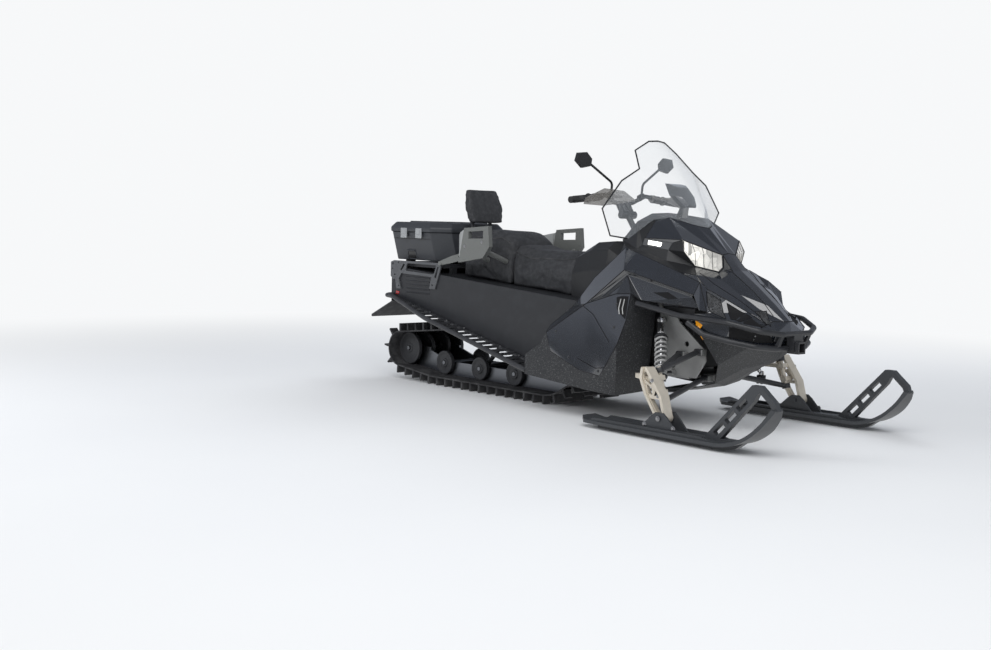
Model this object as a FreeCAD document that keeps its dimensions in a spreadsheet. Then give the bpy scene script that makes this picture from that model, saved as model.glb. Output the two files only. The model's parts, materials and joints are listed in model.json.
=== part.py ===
import FreeCAD
import Part
import Sketcher
import math
import os

# A two-seat utility snowmobile, in millimetres. +X is forward, +Y is the rider's left, +Z is up.
# The origin is on the floor, under the middle of the machine. Stations called "from the pivot" are
# measured along X from the ski pivots, which is how the body tables below are written.

doc = FreeCAD.newDocument("snowmobile")
sheet = doc.addObject("Spreadsheet::Sheet", "Sizes")

SIZES = [
    # name, value, what it is
    ("pivot_x", 990, "ski pivots ahead of the origin"),
    ("ski_stance", 1062, "between the centre lines of the skis"),
    ("ski_width", 160, "width of a ski"),
    ("ski_thick", 16, "thickness of a ski's blade"),
    ("ski_nose", 610, "ski pivot to the front of the ski"),
    ("ski_tail", 470, "ski pivot to the ski's tail"),
    ("ski_tip_height", 205, "height of the nose bend's centre line end"),
    ("ski_loop_height", 300, "top of the ski loop"),
    ("ski_loop_wide", 30, "width of the loop across the ski"),
    ("ski_loop_bar", 22, "bar of the loop in side view"),
    ("ski_pivot_height", 96, "ski pivot bolt above the floor"),
    ("ski_bolt_radius", 8, "ski pivot bolt"),
    ("fit", 0.3, "seated fits"),
    ("clear", 8, "room round moving pieces"),
    ("keel_depth", 22, "keel under the blade"),
    ("keel_width", 34, "width of the keel"),
    ("kingpin_inset", 56, "kingpin axis inboard of the ski's centre line"),
    ("kingpin_caster", 17, "lean of the kingpin, top to the rear, degrees"),
    ("spindle_wide", 56, "width of the spindle casting across"),
    ("spindle_top", 300, "upper ball joint above the floor"),
    ("spindle_low", 165, "lower ball joint above the floor"),
    ("arm_tube_radius", 13, "tubes of the suspension arms"),
    ("ball_radius", 17, "ball joint housings"),
    ("track_width", 508, "width of the track"),
    ("lug_height", 45, "height of the track's lugs"),
    ("belt_thick", 8, "thickness of the track's belt"),
    ("lug_thick", 13, "thickness of a lug"),
    ("lug_count", 54, "rows of lugs round the track"),
    ("lug_gap", 36, "bare belt between the lug columns, where the rails run"),
    ("drive_back", 650, "drive axle behind the ski pivots"),
    ("drive_height", 365, "drive axle above the floor"),
    ("drive_radius", 90, "radius of the drive sprockets"),
    ("idler_back", 2300, "rear idler axle behind the ski pivots"),
    ("idler_radius", 97, "radius of the rear idler wheels"),
    ("idler_lift", 35, "rear idlers above the flat of the track"),
    ("kink_back", 2000, "where the track leaves the ground at the rear, behind the pivots"),
    ("kink_radius", 70, "radius of the wheels there"),
    ("rail_bend_back", 1080, "where the rails start to curve up, behind the pivots"),
    ("rail_bend_radius", 260, "radius of the rails' front curve"),
    ("rail_spacing", 236, "between the two rails"),
    ("rail_thick", 12, "thickness of a rail"),
    ("rail_depth", 62, "height of a rail"),
    ("slider_depth", 16, "slider strip under a rail"),
    ("bogie_radius", 66, "radius of the bogie wheels"),
    ("wheel_wide", 24, "width of a bogie or idler wheel"),
    ("axle_radius", 11, "radius of the skid's axles"),
    ("tunnel_width", 580, "outside width of the tunnel"),
    ("tunnel_wall", 5, "tunnel sheet, with its stiffening"),
    ("tunnel_front_back", 480, "front end of the tunnel behind the pivots"),
    ("tunnel_rear_back", 2340, "rear end of the tunnel behind the pivots"),
    ("tunnel_front_top", 545, "top of the tunnel at its front"),
    ("tunnel_rear_top", 680, "top of the tunnel at its rear"),
    ("tunnel_front_low", 195, "lower edge of the tunnel ahead of the running boards"),
    ("tunnel_rear_low", 507, "lower edge of the tunnel at its rear"),
    ("board_width", 145, "width of a running board"),
    ("board_thick", 26, "thickness of a running board"),
    ("board_front_back", 1010, "front end of the running boards"),
    ("board_slot_pitch", 58, "spacing of the running board's openings"),
    ("skin", 5, "thickness of the moulded body panels"),
    ("screen_thick", 5, "thickness of the windshield"),
    ("guard_thick", 4, "thickness of the handguards"),
    ("bumper_radius", 13, "radius of the front bumper tubes"),
    ("bar_radius", 11, "radius of the handlebar tube"),
    ("grip_radius", 17, "radius of the grips"),
    ("grip_length", 125, "length of a grip"),
    ("bar_back", 775, "middle of the handlebar behind the pivots"),
    ("bar_height", 1065, "middle of the handlebar above the floor"),
    ("bar_half", 405, "half width of the handlebar"),
    ("post_lean", 35, "lean of the steering post, top to the rear, degrees"),
    ("post_radius", 15, "radius of the steering post"),
    ("seat_width", 300, "width of the seats at the cushion"),
    ("box_length", 340, "length of the cargo box"),
    ("box_width", 560, "width of the cargo box"),
    ("box_height", 165, "height of the cargo box without its lid"),
    ("box_lid_height", 58, "height of the lid"),
    ("box_wall", 8, "walls of the cargo box"),
    ("box_back", 2225, "middle of the cargo box behind the pivots"),
    ("box_floor", 720, "underside of the cargo box"),
    ("box_taper", 46, "how much narrower the box is at its floor, each side"),
    ("rack_bar", 24, "bars of the rear rack"),
    ("rack_half_width", 250, "rear rack centre line to its side bars"),
    ("rack_top", 706, "top of the rear rack's deck rails"),
    ("flap_length", 300, "length of the snow flap"),
    ("flap_thick", 10, "thickness of the snow flap"),
    ("hitch_pin_radius", 8, "hitch pin hole"),
    ("hitch_plate", 10, "hitch tongue plates"),
    ("hitch_gap", 26, "between the hitch tongue's two plates"),
    ("anchor_hole_radius", 6, "tie-down holes in the rack's deck plate"),
    ("anchor_spacing_x", 180, "tie-down holes, front to rear"),
    ("anchor_spacing_y", 380, "tie-down holes, side to side"),
]

for row, (name, value, what) in enumerate(SIZES, 1):
    sheet.set(f"A{row}", name)
    sheet.set(f"B{row}", str(value))
    sheet.setAlias(f"B{row}", name)
    sheet.set(f"C{row}", what)
doc.recompute()


class Size(float):
    """A size in millimetres or degrees that remembers the spreadsheet expression it comes from."""

    def __new__(cls, value, text=None):
        made = float.__new__(cls, value)
        made.text = text or repr(float(value))
        return made

    def _with(self, sign, other, value, swap=False):
        pair = (Size.of(other).text, self.text) if swap else (self.text, Size.of(other).text)
        return Size(value, f"({pair[0]} {sign} {pair[1]})")

    @staticmethod
    def of(value):
        return value if isinstance(value, Size) else Size(value)

    def __add__(self, other):
        return self._with("+", other, float(self) + float(other))

    def __radd__(self, other):
        return self._with("+", other, float(other) + float(self), True)

    def __sub__(self, other):
        return self._with("-", other, float(self) - float(other))

    def __rsub__(self, other):
        return self._with("-", other, float(other) - float(self), True)

    def __mul__(self, other):
        return self._with("*", other, float(self) * float(other))

    def __rmul__(self, other):
        return self._with("*", other, float(other) * float(self), True)

    def __truediv__(self, other):
        return self._with("/", other, float(self) / float(other))

    def __neg__(self):
        return Size(-float(self), f"(0 - {self.text})")


def size(name):
    return Size(sheet.get(name), f"Sizes.{name}")


# Helpers

PLANES = {"XY": "XY_Plane", "XZ": "XZ_Plane", "YZ": "YZ_Plane"}
UP = FreeCAD.Vector(0, 0, 1)
LEFT = FreeCAD.Vector(0, 1, 0)
AHEAD = FreeCAD.Vector(1, 0, 0)
SIDES = (("right", -1), ("left", 1))
PIVOT = size("pivot_x")


def vec(x, y, z):
    return FreeCAD.Vector(float(x), float(y), float(z))


def at(x, y, z):
    """A point whose x is measured from the ski pivots."""
    return vec(PIVOT + x, y, z)


def keep(label, shape):
    """A sub-part whose shape is made here from the sheet's sizes."""
    made = doc.addObject("Part::Feature", label)
    made.Label = label
    made.Shape = shape
    return made


def bind(thing, **values):
    """Sets properties of a document object, each to a size and to its expression."""
    for name, value in values.items():
        setattr(thing, name, float(value))
        thing.setExpression(name, Size.of(value).text)
    return thing


def outline_body(label, plane, corners, depth, centred=True):
    """A PartDesign body: one pad of a closed outline, every corner bound to the sheet."""
    body = doc.addObject("PartDesign::Body", label)
    body.Label = label
    sketch = body.newObject("Sketcher::SketchObject", label + "_outline")
    role = PLANES[plane]
    origin_plane = next(f for f in body.Origin.OriginFeatures if f.Role == role)
    sketch.AttachmentSupport = [(origin_plane, "")]
    sketch.MapMode = "FlatFace"
    points = [FreeCAD.Vector(float(u), float(v), 0) for u, v in corners]
    count = len(points)
    for i in range(count):
        sketch.addGeometry(Part.LineSegment(points[i], points[(i + 1) % count]), False)
    for i in range(count):
        sketch.addConstraint(Sketcher.Constraint("Coincident", i, 2, (i + 1) % count, 1))
    for i, (u, v) in enumerate(corners):
        for kind, value in (("DistanceX", u), ("DistanceY", v)):
            index = sketch.addConstraint(Sketcher.Constraint(kind, -1, 1, i, 1, float(value)))
            sketch.setExpression(f"Constraints[{index}]", Size.of(value).text)
    pad = body.newObject("PartDesign::Pad", label + "_pad")
    pad.Profile = sketch
    pad.Midplane = centred
    bind(pad, Length=depth)
    sketch.Visibility = False
    return body


def prism(corners, direction):
    """A solid swept straight from a closed outline of points."""
    wire = Part.makePolygon(list(corners) + [corners[0]])
    return Part.Face(wire).extrude(direction)


def rod(a, b, radius):
    """A round bar from a to b."""
    along = b - a
    return Part.makeCylinder(float(radius), along.Length, a, along)


def bar(centre, length, width, height):
    """A rectangular block by its centre."""
    corner = centre - vec(length / 2, width / 2, height / 2)
    return Part.makeBox(float(length), float(width), float(height), corner)


def tube(points, radius, bend):
    """A bent round bar through the given corners: straight lengths joined by bends of one radius."""
    pieces = []
    last = points[0]
    for i in range(1, len(points) - 1):
        before, corner, after = points[i - 1], points[i], points[i + 1]
        back, ahead = (before - corner).normalize(), (after - corner).normalize()
        half = math.acos(max(-1.0, min(1.0, back.dot(ahead)))) / 2
        room = 0.45 * min((before - corner).Length, (after - corner).Length)
        cut = min(float(bend) / math.tan(half), room)
        reach = cut * math.tan(half)
        start, end = corner + back * cut, corner + ahead * cut
        centre = corner + (back + ahead).normalize() * (reach / math.sin(half))
        pieces.append(rod(last, start, radius))
        disc = Part.Face(Part.Wire(Part.makeCircle(float(radius), start, back)))
        pieces.append(disc.revolve(centre, back.cross(ahead), -math.degrees(math.pi - 2 * half)))
        last = end
    pieces.append(rod(last, points[-1], radius))
    return join(pieces)


def join(shapes):
    """One shape from pieces that meet or overlap."""
    first, *rest = shapes
    return first.fuse(rest).removeSplitter() if rest else first


def mirror(shape):
    """The same shape on the other side of the machine."""
    return shape.mirror(vec(0, 0, 0), LEFT)


def both_sides(shape):
    return Part.makeCompound([shape, mirror(shape)])


def faces_solid(points, faces):
    """A closed solid from triangles, given as corner numbers."""
    made = []
    for corners in faces:
        loop = [points[i] for i in corners]
        made.append(Part.Face(Part.makePolygon(loop + [loop[0]])))
    shell = Part.makeShell(made)
    solid = Part.Solid(shell)
    if solid.Volume < 0:
        shell.reverse()
        solid = Part.Solid(shell)
    return solid


LONGEST_FOLD = 2.4


def under_faces(directions):
    """The step outward that stands one unit off every face with these directions, or nearly so in a fold."""
    apart = []
    for way in directions:
        if all(way.dot(other) < 0.97 for other in apart):
            apart.append(way)
    total, soft = vec(0, 0, 0), 0.01
    rows = [[soft, 0, 0], [0, soft, 0], [0, 0, soft]]
    for way in apart:
        total = total + way
        for i in range(3):
            for j in range(3):
                rows[i][j] += way[i] * way[j]
    (a, b, c), (d, e, f), (g, h, k) = rows
    step = FreeCAD.Matrix(a, b, c, 0, d, e, f, 0, g, h, k, 0, 0, 0, 0, 1).inverse().multVec(total)
    return step * min(1.0, LONGEST_FOLD / step.Length)


def skin_normals(points, faces):
    """At each point of a skin, the step outward that keeps a panel's thickness even under the faces there."""
    around = {name: [] for name in points}
    for face in faces:
        for i in range(1, len(face) - 1):
            a, b, c = (points[n] for n in (face[0], face[i], face[i + 1]))
            normal = (b - a).cross(c - a).normalize()
            for name in (face[0], face[i], face[i + 1]):
                around[name].append(normal)
                if abs(points[name].y) < 1e-6:
                    around[name].append(vec(normal.x, -normal.y, normal.z))
    steps = {name: under_faces(directions) for name, directions in around.items() if directions}
    for name, step in steps.items():
        if abs(points[name].y) < 1e-6:
            step.y = 0
    return steps


def skin_panel(points, normals, faces, thickness):
    """A panel of even thickness: the named faces of a skin, closed by the same faces set inward.
    Neighbouring panels of one skin share their edge walls exactly, so they meet face to face."""
    names = sorted({n for face in faces for n in face})
    index = {n: i for i, n in enumerate(names)}
    outer = [points[n] for n in names]
    inner = [points[n] - normals[n] * float(thickness) for n in names]
    count = len(names)
    triangles, edges = [], {}
    for face in faces:
        for i in range(1, len(face) - 1):
            corners = (face[0], face[i], face[i + 1])
            a, b, c = (index[n] for n in corners)
            triangles += [(a, b, c), (c + count, b + count, a + count)]
            for p, q in zip(corners, corners[1:] + corners[:1]):
                if (q, p) in edges:
                    del edges[(q, p)]
                else:
                    edges[(p, q)] = True
    for p, q in edges:
        a, b = index[p], index[q]
        if p < q:
            triangles += [(a, a + count, b), (b, a + count, b + count)]
        else:
            triangles += [(a, a + count, b + count), (a, b + count, b)]
    return faces_solid(outer + inner, triangles)


# Track: one loop round the drive sprockets, the rails' front curve and the rear idlers

lug_height, belt, lug_thick = size("lug_height"), size("belt_thick"), size("lug_thick")
track_width, fit = size("track_width"), size("fit")
belt_low = lug_height + belt
drive = at(-size("drive_back"), 0, size("drive_height"))
idler = at(-size("idler_back"), 0, belt_low + size("idler_radius") + size("idler_lift"))
kink = at(-size("kink_back"), 0, belt_low + size("kink_radius"))
rail_bend = at(-size("rail_bend_back"), 0, belt_low + size("rail_bend_radius"))
# the round stations in the order in which the belt passes them: centre, radius to the belt's inside
LOOP = [
    (drive, float(size("drive_radius"))),
    (idler, float(size("idler_radius"))),
    (kink, float(size("kink_radius"))),
    (rail_bend, float(size("rail_bend_radius"))),
]


def way_out(angle):
    return vec(math.cos(angle), 0, math.sin(angle))


def loop_stretches():
    """The belt's inside line as straight runs and arcs: kind, length, start or centre, angle out, radius."""
    angles = []
    for i, (centre, radius) in enumerate(LOOP):
        after, after_radius = LOOP[(i + 1) % len(LOOP)]
        way = after - centre
        angles.append(math.atan2(way.z, way.x) - math.acos((radius - after_radius) / way.Length))
    stretches = []
    for i, (centre, radius) in enumerate(LOOP):
        after, after_radius = LOOP[(i + 1) % len(LOOP)]
        out = way_out(angles[i])
        start, end = centre + out * radius, after + out * after_radius
        stretches.append(("run", (end - start).Length, start, angles[i], 0.0))
        sweep = (angles[(i + 1) % len(LOOP)] - angles[i]) % (2 * math.pi)
        stretches.append(("arc", after_radius * sweep, after, angles[i], after_radius))
    return stretches


STRETCHES = loop_stretches()
LOOP_LENGTH = sum(stretch[1] for stretch in STRETCHES)


def loop_point(travel, offset):
    """The point at a distance along the belt, set outward by offset, and the way out there."""
    left = travel % LOOP_LENGTH
    for kind, length, start, angle, radius in STRETCHES:
        if left <= length:
            if kind == "run":
                out = way_out(angle)
                return start + vec(-out.z, 0, out.x) * left + out * offset, out
            out = way_out(angle + left / radius)
            return start + out * (radius + offset), out
        left -= length


def loop_wire(offset, y):
    """The closed outline of the loop at a distance outside the belt's inside."""
    shift = vec(0, y, 0)
    arcs = []
    for kind, length, centre, angle, radius in STRETCHES:
        if kind == "arc":
            reach = radius + offset
            sweep = length / radius
            arcs.append([centre + way_out(angle + sweep * share) * reach + shift for share in (0, 0.5, 1)])
    edges = []
    for i, (first, middle, last) in enumerate(arcs):
        edges.append(Part.Arc(first, middle, last).toShape())
        edges.append(Part.LineSegment(last, arcs[(i + 1) % len(arcs)][0]).toShape())
    return Part.Wire(edges)


def loop_plate(offset, y, width):
    return Part.Face(loop_wire(offset, y)).extrude(vec(0, width, 0))


# columns of the lugs across the track, by row of the pattern: from, to
LUG_ROWS = [
    [(-250, -134), (-40, 40), (134, 250)],
    [(-250, -196), (-102, 102), (196, 250)],
]


def lug(travel, y_from, y_to):
    """One paddle of the track, thicker at its root."""
    foot, out = loop_point(travel, float(belt) - 1)
    along = vec(-out.z, 0, out.x)
    tip = foot + out * (float(lug_height) + 1)
    root, crest = float(lug_thick) * 0.62, float(lug_thick) * 0.38
    shift = vec(0, y_from, 0)
    corners = [foot - along * root, foot + along * root, tip + along * crest, tip - along * crest]
    return prism([c + shift for c in corners], vec(0, y_to - y_from, 0))


half_track = track_width / 2
loop_belt = loop_plate(float(belt), -float(half_track), float(track_width))
loop_belt = loop_belt.cut(loop_plate(0, -float(half_track), float(track_width)))
lugs = []
LUG_COUNT = int(size("lug_count"))
for i in range(LUG_COUNT):
    for y_from, y_to in LUG_ROWS[i % 2]:
        lugs.append(lug(LOOP_LENGTH * (i + 0.5) / LUG_COUNT, y_from, y_to))
keep("track", loop_belt.fuse(lugs))

# Rails with their sliders, and the skid's axles and arms

rail_y = size("rail_spacing") / 2
rail_thick, slider, rail_depth = size("rail_thick"), size("slider_depth"), size("rail_depth")
flat_top = float(belt_low + slider + rail_depth)
axle_radius = size("axle_radius")


def rail_region(lift):
    """The side view of everything under the rails' top edge, moved up by lift."""
    top = [(-2238, flat_top + 74), (-1990, flat_top), (-1100, flat_top), (-965, flat_top + 16),
           (-872, flat_top + 56), (-846, flat_top + 34), (-820, flat_top - 90)]
    corners = [at(-2300, -60, 0)] + [at(-2300, -60, top[0][1] + lift)]
    corners += [at(x, -60, z + lift) for x, z in top] + [at(-820, -60, 0)]
    return [c + vec(0, 60, 0) for c in corners]


def rail_strip(lift, y, width):
    face = Part.Face(loop_wire(-float(fit), 0)).common(Part.Face(Part.makePolygon(
        rail_region(lift) + [rail_region(lift)[0]])))
    return face.extrude(vec(0, width, 0)).translated(vec(0, y, 0))


rails, sliders = [], []
for name, sign in SIDES:
    y = sign * float(rail_y) - float(rail_thick) / 2
    whole = rail_strip(0, y, float(rail_thick))
    strip = rail_strip(-float(rail_depth), y, float(rail_thick))
    rails.append(whole.cut(strip))
    sliders.append(strip)

# the skid's cross axles: x from the pivots, height, half length
AXLES = [
    (-1140, 150, 150),
    (-1400, float(belt_low + size("bogie_radius")), 156),
    (-1690, float(belt_low + size("bogie_radius")), 156),
    (-2000, float(kink.z), 156),
    (-2300, float(idler.z), 185),
    (-1000, 210, 112),
]
skid = list(rails)
for x, z, half in AXLES:
    skid.append(rod(at(x, -half, z), at(x, half, z), axle_radius))
# rear ends of the rails reach the idler axle
for name, sign in SIDES:
    y = sign * float(rail_y) - float(rail_thick) / 2
    fork = [(-2170, 132), (-2170, 196), (-2300, float(idler.z) + 26), (-2330, float(idler.z)),
            (-2300, float(idler.z) - 26)]
    skid.append(prism([at(x, y, z) for x, z in fork], vec(0, rail_thick, 0)))
    stand = [(-1165, 130), (-1115, 130), (-1120, 175), (-1160, 175)]
    skid.append(prism([at(x, y, z) for x, z in stand], vec(0, rail_thick, 0)))
    front = [(-1040, 135), (-950, 150), (-985, 232), (-1015, 232)]
    skid.append(prism([at(x, y, z) for x, z in front], vec(0, rail_thick, 0)))
keep("skid_rails", join(skid + sliders))

wheel_wide, bogie_radius = size("wheel_wide"), size("bogie_radius")
# wheels inside the track: x, height, radius, centre lines across
WHEELS = [
    (-2300, float(idler.z), float(size("idler_radius")), (-165, -60, 60, 165)),
    (-2000, float(kink.z), float(size("kink_radius")), (-141, 141)),
    (-1690, float(belt_low + bogie_radius), float(bogie_radius), (-141, 141)),
    (-1400, float(belt_low + bogie_radius), float(bogie_radius), (-141, 141)),
]


def wheel(centre, radius, width, bore):
    """A wheel with a dished web."""
    half = width / 2
    profile = [(bore, half), (bore + 14, half), (bore + 17, half * 0.45), (radius - 16, half * 0.45),
               (radius - 12, half), (radius - 2, half), (radius, half - 3)]
    profile += [(r, -w) for r, w in reversed(profile)]
    wire = Part.makePolygon([centre + vec(r, w, 0) for r, w in profile + profile[:1]])
    return Part.Face(wire).revolve(centre, LEFT, 360)


wheels = []
for x, z, radius, places in WHEELS:
    for y in places:
        bore = float(axle_radius + fit)
        wheels.append(wheel(at(x, y, z), radius - float(fit), float(wheel_wide), bore))
keep("track_wheels", Part.makeCompound(wheels))

# drive axle with its sprockets, turning with the track inside the tunnel
tunnel_half = size("tunnel_width") / 2
tunnel_wall = size("tunnel_wall")
inner_half = float(tunnel_half - tunnel_wall)
axle = [rod(drive + vec(0, -inner_half + fit, 0), drive + vec(0, inner_half - fit, 0), 16)]
for y in (-118, 118):
    axle.append(rod(drive + vec(0, y - 22, 0), drive + vec(0, y + 22, 0), size("drive_radius") - fit))
keep("drive_axle", join(axle))

# swing arms and shocks of the skid, between the tunnel and the rails
arms = []
for name, sign in SIDES:
    y = sign * 90
    arms.append(rod(at(-905, y, 385), at(-1140, y, 165), 13))
    arms.append(rod(at(-1500, y, 338), at(-1690, y, 138), 13))
for x, z, half in ((-905, 385, inner_half), (-1500, 338, inner_half)):
    arms.append(rod(at(x, -half + fit, z), at(x, half - fit, z), 11))
for x, z in ((-1140, 165), (-1690, 132)):
    arms.append(rod(at(x, -104, z), at(x, 104, z), 17))
swing = join(arms)
for x, z in ((-1140, 150), (-1690, float(belt_low + size("bogie_radius")))):
    swing = swing.cut(rod(at(x, -160, z), at(x, 160, z), axle_radius + fit))



def shock(top, foot, body_radius, spring_radius, turns):
    """A coil-over shock turned in one piece: body, rod, two collars and a stack of coils between them."""
    along = (foot - top).normalize()
    across = along.cross(vec(0, 0.6, 0.8)).normalize()
    length = (foot - top).Length
    first, last = length * 0.28, length * 0.88
    pitch = (last - first) / turns
    profile = [(0, 0), (body_radius, 0), (body_radius, first - 10), (spring_radius + 2, first - 10),
               (spring_radius + 2, first)]
    for i in range(turns):
        start = first + pitch * i
        profile += [(spring_radius - pitch * 0.34, start + pitch * 0.12), (spring_radius, start + pitch * 0.42),
                    (spring_radius, start + pitch * 0.62), (spring_radius - pitch * 0.34, start + pitch * 0.92)]
    profile += [(spring_radius + 2, last), (spring_radius + 2, last + 8), (body_radius * 0.5, last + 8),
                (body_radius * 0.5, length), (0, length)]
    wire = Part.makePolygon([top + across * r + along * d for r, d in profile + profile[:1]])
    return [Part.Face(wire).revolve(top, along, 360)]


def eye(centre, axis, half, radius):
    return rod(centre - axis * half, centre + axis * half, radius)


skid_shock = join([swing] + shock(at(-905, 0, 385), at(-1000, 0, 228), 17, 28, 5))
keep("skid_arms", skid_shock.cut(rod(at(-1000, -90, 210), at(-1000, 90, 210), axle_radius + fit)))

# Tunnel: an inverted channel over the track, closed at the front

tunnel_side = [
    (-480, 545), (-2340, 680), (-2340, 507), (-1010, 195), (-480, 195),
]
LOW = float(size("tunnel_front_low"))
front_x, rear_x = -float(size("tunnel_front_back")), -float(size("tunnel_rear_back"))
front_top_z, rear_top_z = float(size("tunnel_front_top")), float(size("tunnel_rear_top"))
rear_low_z, board_x = float(size("tunnel_rear_low")), -float(size("board_front_back"))
tunnel_side = [(front_x, front_top_z), (rear_x, rear_top_z), (rear_x, rear_low_z),
               (board_x, LOW), (front_x, LOW)]
half = float(tunnel_half)
wall = float(tunnel_wall)
shell = prism([at(x, -half, z) for x, z in tunnel_side], vec(0, 2 * half, 0))
room_side = [(front_x - wall, front_top_z - wall), (rear_x - 50, rear_top_z - wall + 3.6),
             (rear_x - 50, 0), (front_x - wall, 0)]
room = prism([at(x, -half + wall, z) for x, z in room_side], vec(0, 2 * (half - wall), 0))
end_panel = prism([at(rear_x + wall, y, z) for y, z in ((-half, 470), (half, 470), (half, rear_top_z - 2),
                                                       (-half, rear_top_z - 2))], vec(-wall, 0, 0))
tunnel = join([shell.cut(room), end_panel])
keep("tunnel", tunnel)


def tunnel_top(x):
    """Height of the tunnel's top at a station behind the pivots."""
    return front_top_z + (rear_top_z - front_top_z) * (front_x - x) / (front_x - rear_x)

# Running boards: a grip strip, an outer tube and rungs between them

board_thick = float(size("board_thick"))
edge_front, edge_mid = (-1010, 436, 195), (-1884, 404, 402)
edge_tail = (-2341, 304, 507)
slope = (rear_low_z - LOW) / (board_x - rear_x)


def board_z(x):
    """Height of the board's line at a station behind the pivots."""
    return LOW + (board_x - x) * slope


boards = []
strip_corners = [at(board_x, half, board_z(board_x)), at(rear_x, half, board_z(rear_x)),
                 at(rear_x, half, board_z(rear_x) + 8), at(board_x, half, board_z(board_x) + 8)]
strip = prism(strip_corners, vec(0, 22, 0))
edge = tube([at(-1012, 436, board_z(-1012) + 4), at(-1884, 404, board_z(-1884) + 4),
             at(-2330, 307, board_z(-2330) + 4)], 13, 220)
rungs = []
pitch = float(size("board_slot_pitch"))
count = int(1290 / pitch)
for i in range(count):
    x = -1024 - i * pitch
    reach = 432 - (436 - 404) * (-1010 - x) / 874 if x > -1884 else 404 - 103 * (-1884 - x) / 446
    z = board_z(x)
    rungs.append(Part.makeBox(14, reach - half - 8, 14, at(x - 7, half + 10, z - 3)))
board = join([strip, edge] + rungs)
keep("running_boards", both_sides(board))

# Skis: a blade with a turned-up nose, a keel, side ribs, a saddle for the spindle and a hand loop

ski_y = float(size("ski_stance") / 2)
ski_half = float(size("ski_width") / 2)
blade = float(size("ski_thick"))
keel_depth = float(size("keel_depth"))
nose, tail = float(size("ski_nose")), float(size("ski_tail"))
tip_z = float(size("ski_tip_height"))
bend_start = 330.0
rise = tip_z - keel_depth
bend = ((nose - bend_start) ** 2 + rise ** 2) / (2 * rise)
pivot_z = float(size("ski_pivot_height"))
bolt = float(size("ski_bolt_radius"))
fit_gap = float(fit)


def side_view(points, y_from, width):
    """A plate standing fore and aft: a side-view outline swept across."""
    return prism([at(x, y_from, z) for x, z in points], vec(0, width, 0))


def nose_arc(inside, share):
    """A point of the nose bend: inside is the distance above the blade's underside."""
    angle = -math.pi / 2 + share * 2 * math.atan2(rise, nose - bend_start)
    reach = bend - inside
    return at(bend_start + reach * math.cos(angle), 0, keel_depth + bend + reach * math.sin(angle))


def ski_blade():
    under = [at(-tail, 0, keel_depth + 14), at(-tail + 34, 0, keel_depth), at(bend_start, 0, keel_depth)]
    over = [at(bend_start, 0, keel_depth + blade), at(-tail + 34, 0, keel_depth + blade),
            at(-tail, 0, keel_depth + 14 + blade)]
    edges = [Part.LineSegment(under[0], under[1]).toShape(), Part.LineSegment(under[1], under[2]).toShape()]
    edges.append(Part.Arc(under[2], nose_arc(0, 0.5), nose_arc(0, 1)).toShape())
    edges.append(Part.LineSegment(nose_arc(0, 1), nose_arc(blade, 1)).toShape())
    edges.append(Part.Arc(nose_arc(blade, 1), nose_arc(blade, 0.5), over[0]).toShape())
    edges.append(Part.LineSegment(over[0], over[1]).toShape())
    edges.append(Part.LineSegment(over[1], over[2]).toShape())
    edges.append(Part.LineSegment(over[2], under[0]).toShape())
    return Part.Face(Part.Wire(edges)).extrude(vec(0, 2 * ski_half, 0)).translated(vec(0, -ski_half, 0))


plan = [(-tail, 44), (-tail + 30, 70), (-300, ski_half), (360, ski_half), (540, 66), (nose - 20, 48),
        (nose, 26)]
plan_outline = [at(x, y, 0) for x, y in plan] + [at(x, -y, 0) for x, y in reversed(plan)]
ski = ski_blade().common(prism(plan_outline, vec(0, 0, 400)))
keel_half = float(size("keel_width")) / 2
keel_side = [(-420, 34), (-388, 0), (345, 0), (405, 14), (446, 44), (440, 50), (-420, 37)]
ski = ski.fuse(side_view(keel_side, -keel_half, 2 * keel_half))
for y in (-66, 54):
    rib = [(-410, 36), (-380, 52), (250, 52), (330, 37.9), (330, 36)]
    ski = ski.fuse(side_view(rib, y, 12))
saddle = [(-120, 36), (-46, 104), (-22, 122), (22, 122), (46, 104), (110, 36)]
for y in (-44, 34):
    ski = ski.fuse(side_view(saddle, y, 10))
ski = ski.fuse(rod(at(0, -52, pivot_z), at(0, 52, pivot_z), bolt))

# loop: an arch from the blade to the nose, its rear leg a ladder with three openings
LEG_FOOT, LEG_WAY, LEG_IN = (225, 36), (0.692, 0.722), (0.722, -0.692)


def leg(along, inward):
    return (LEG_FOOT[0] + LEG_WAY[0] * along + LEG_IN[0] * inward,
            LEG_FOOT[1] + LEG_WAY[1] * along + LEG_IN[1] * inward)


loop_wide = float(size("ski_loop_wide"))
loop_top = float(size("ski_loop_height"))
arch = [LEG_FOOT, (478, loop_top), (522, loop_top), (598, 236), (nose, tip_z - 4),
        (592, 180), (574, 222), (518, 270), (506, 262), leg(326, 56), (312, 36)]
loop = side_view(arch, -loop_wide / 2, loop_wide)
for i in range(3):
    start = 66 + i * 84
    hole = [leg(start, 17), leg(start + 66, 17), leg(start + 66, 42), leg(start, 42)]
    loop = loop.cut(side_view(hole, -loop_wide, 2 * loop_wide))
ski = ski.fuse(loop)
for name, sign in SIDES:
    keep(f"ski_{name}", ski.translated(vec(0, sign * ski_y, 0)))

# Spindles: a cast plate with windows, flanges front and rear, lugs to the kingpin, a steering arm

caster = math.radians(float(size("kingpin_caster")))
king_y = ski_y - float(size("kingpin_inset"))
low_z, top_z = float(size("spindle_low")), float(size("spindle_top"))
king_low = at(-48, king_y, low_z)
king_way = vec(-math.sin(caster), 0, math.cos(caster))
king_length = (top_z - low_z) / math.cos(caster)
king_top = king_low + king_way * king_length
casting_half = float(size("spindle_wide")) / 2
outer = [(18, 84), (22, 104), (-4, 194), (-84, 302), (-98, 318), (-136, 314), (-146, 264),
         (-112, 190), (-44, 92), (-20, 74), (6, 72)]
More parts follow.
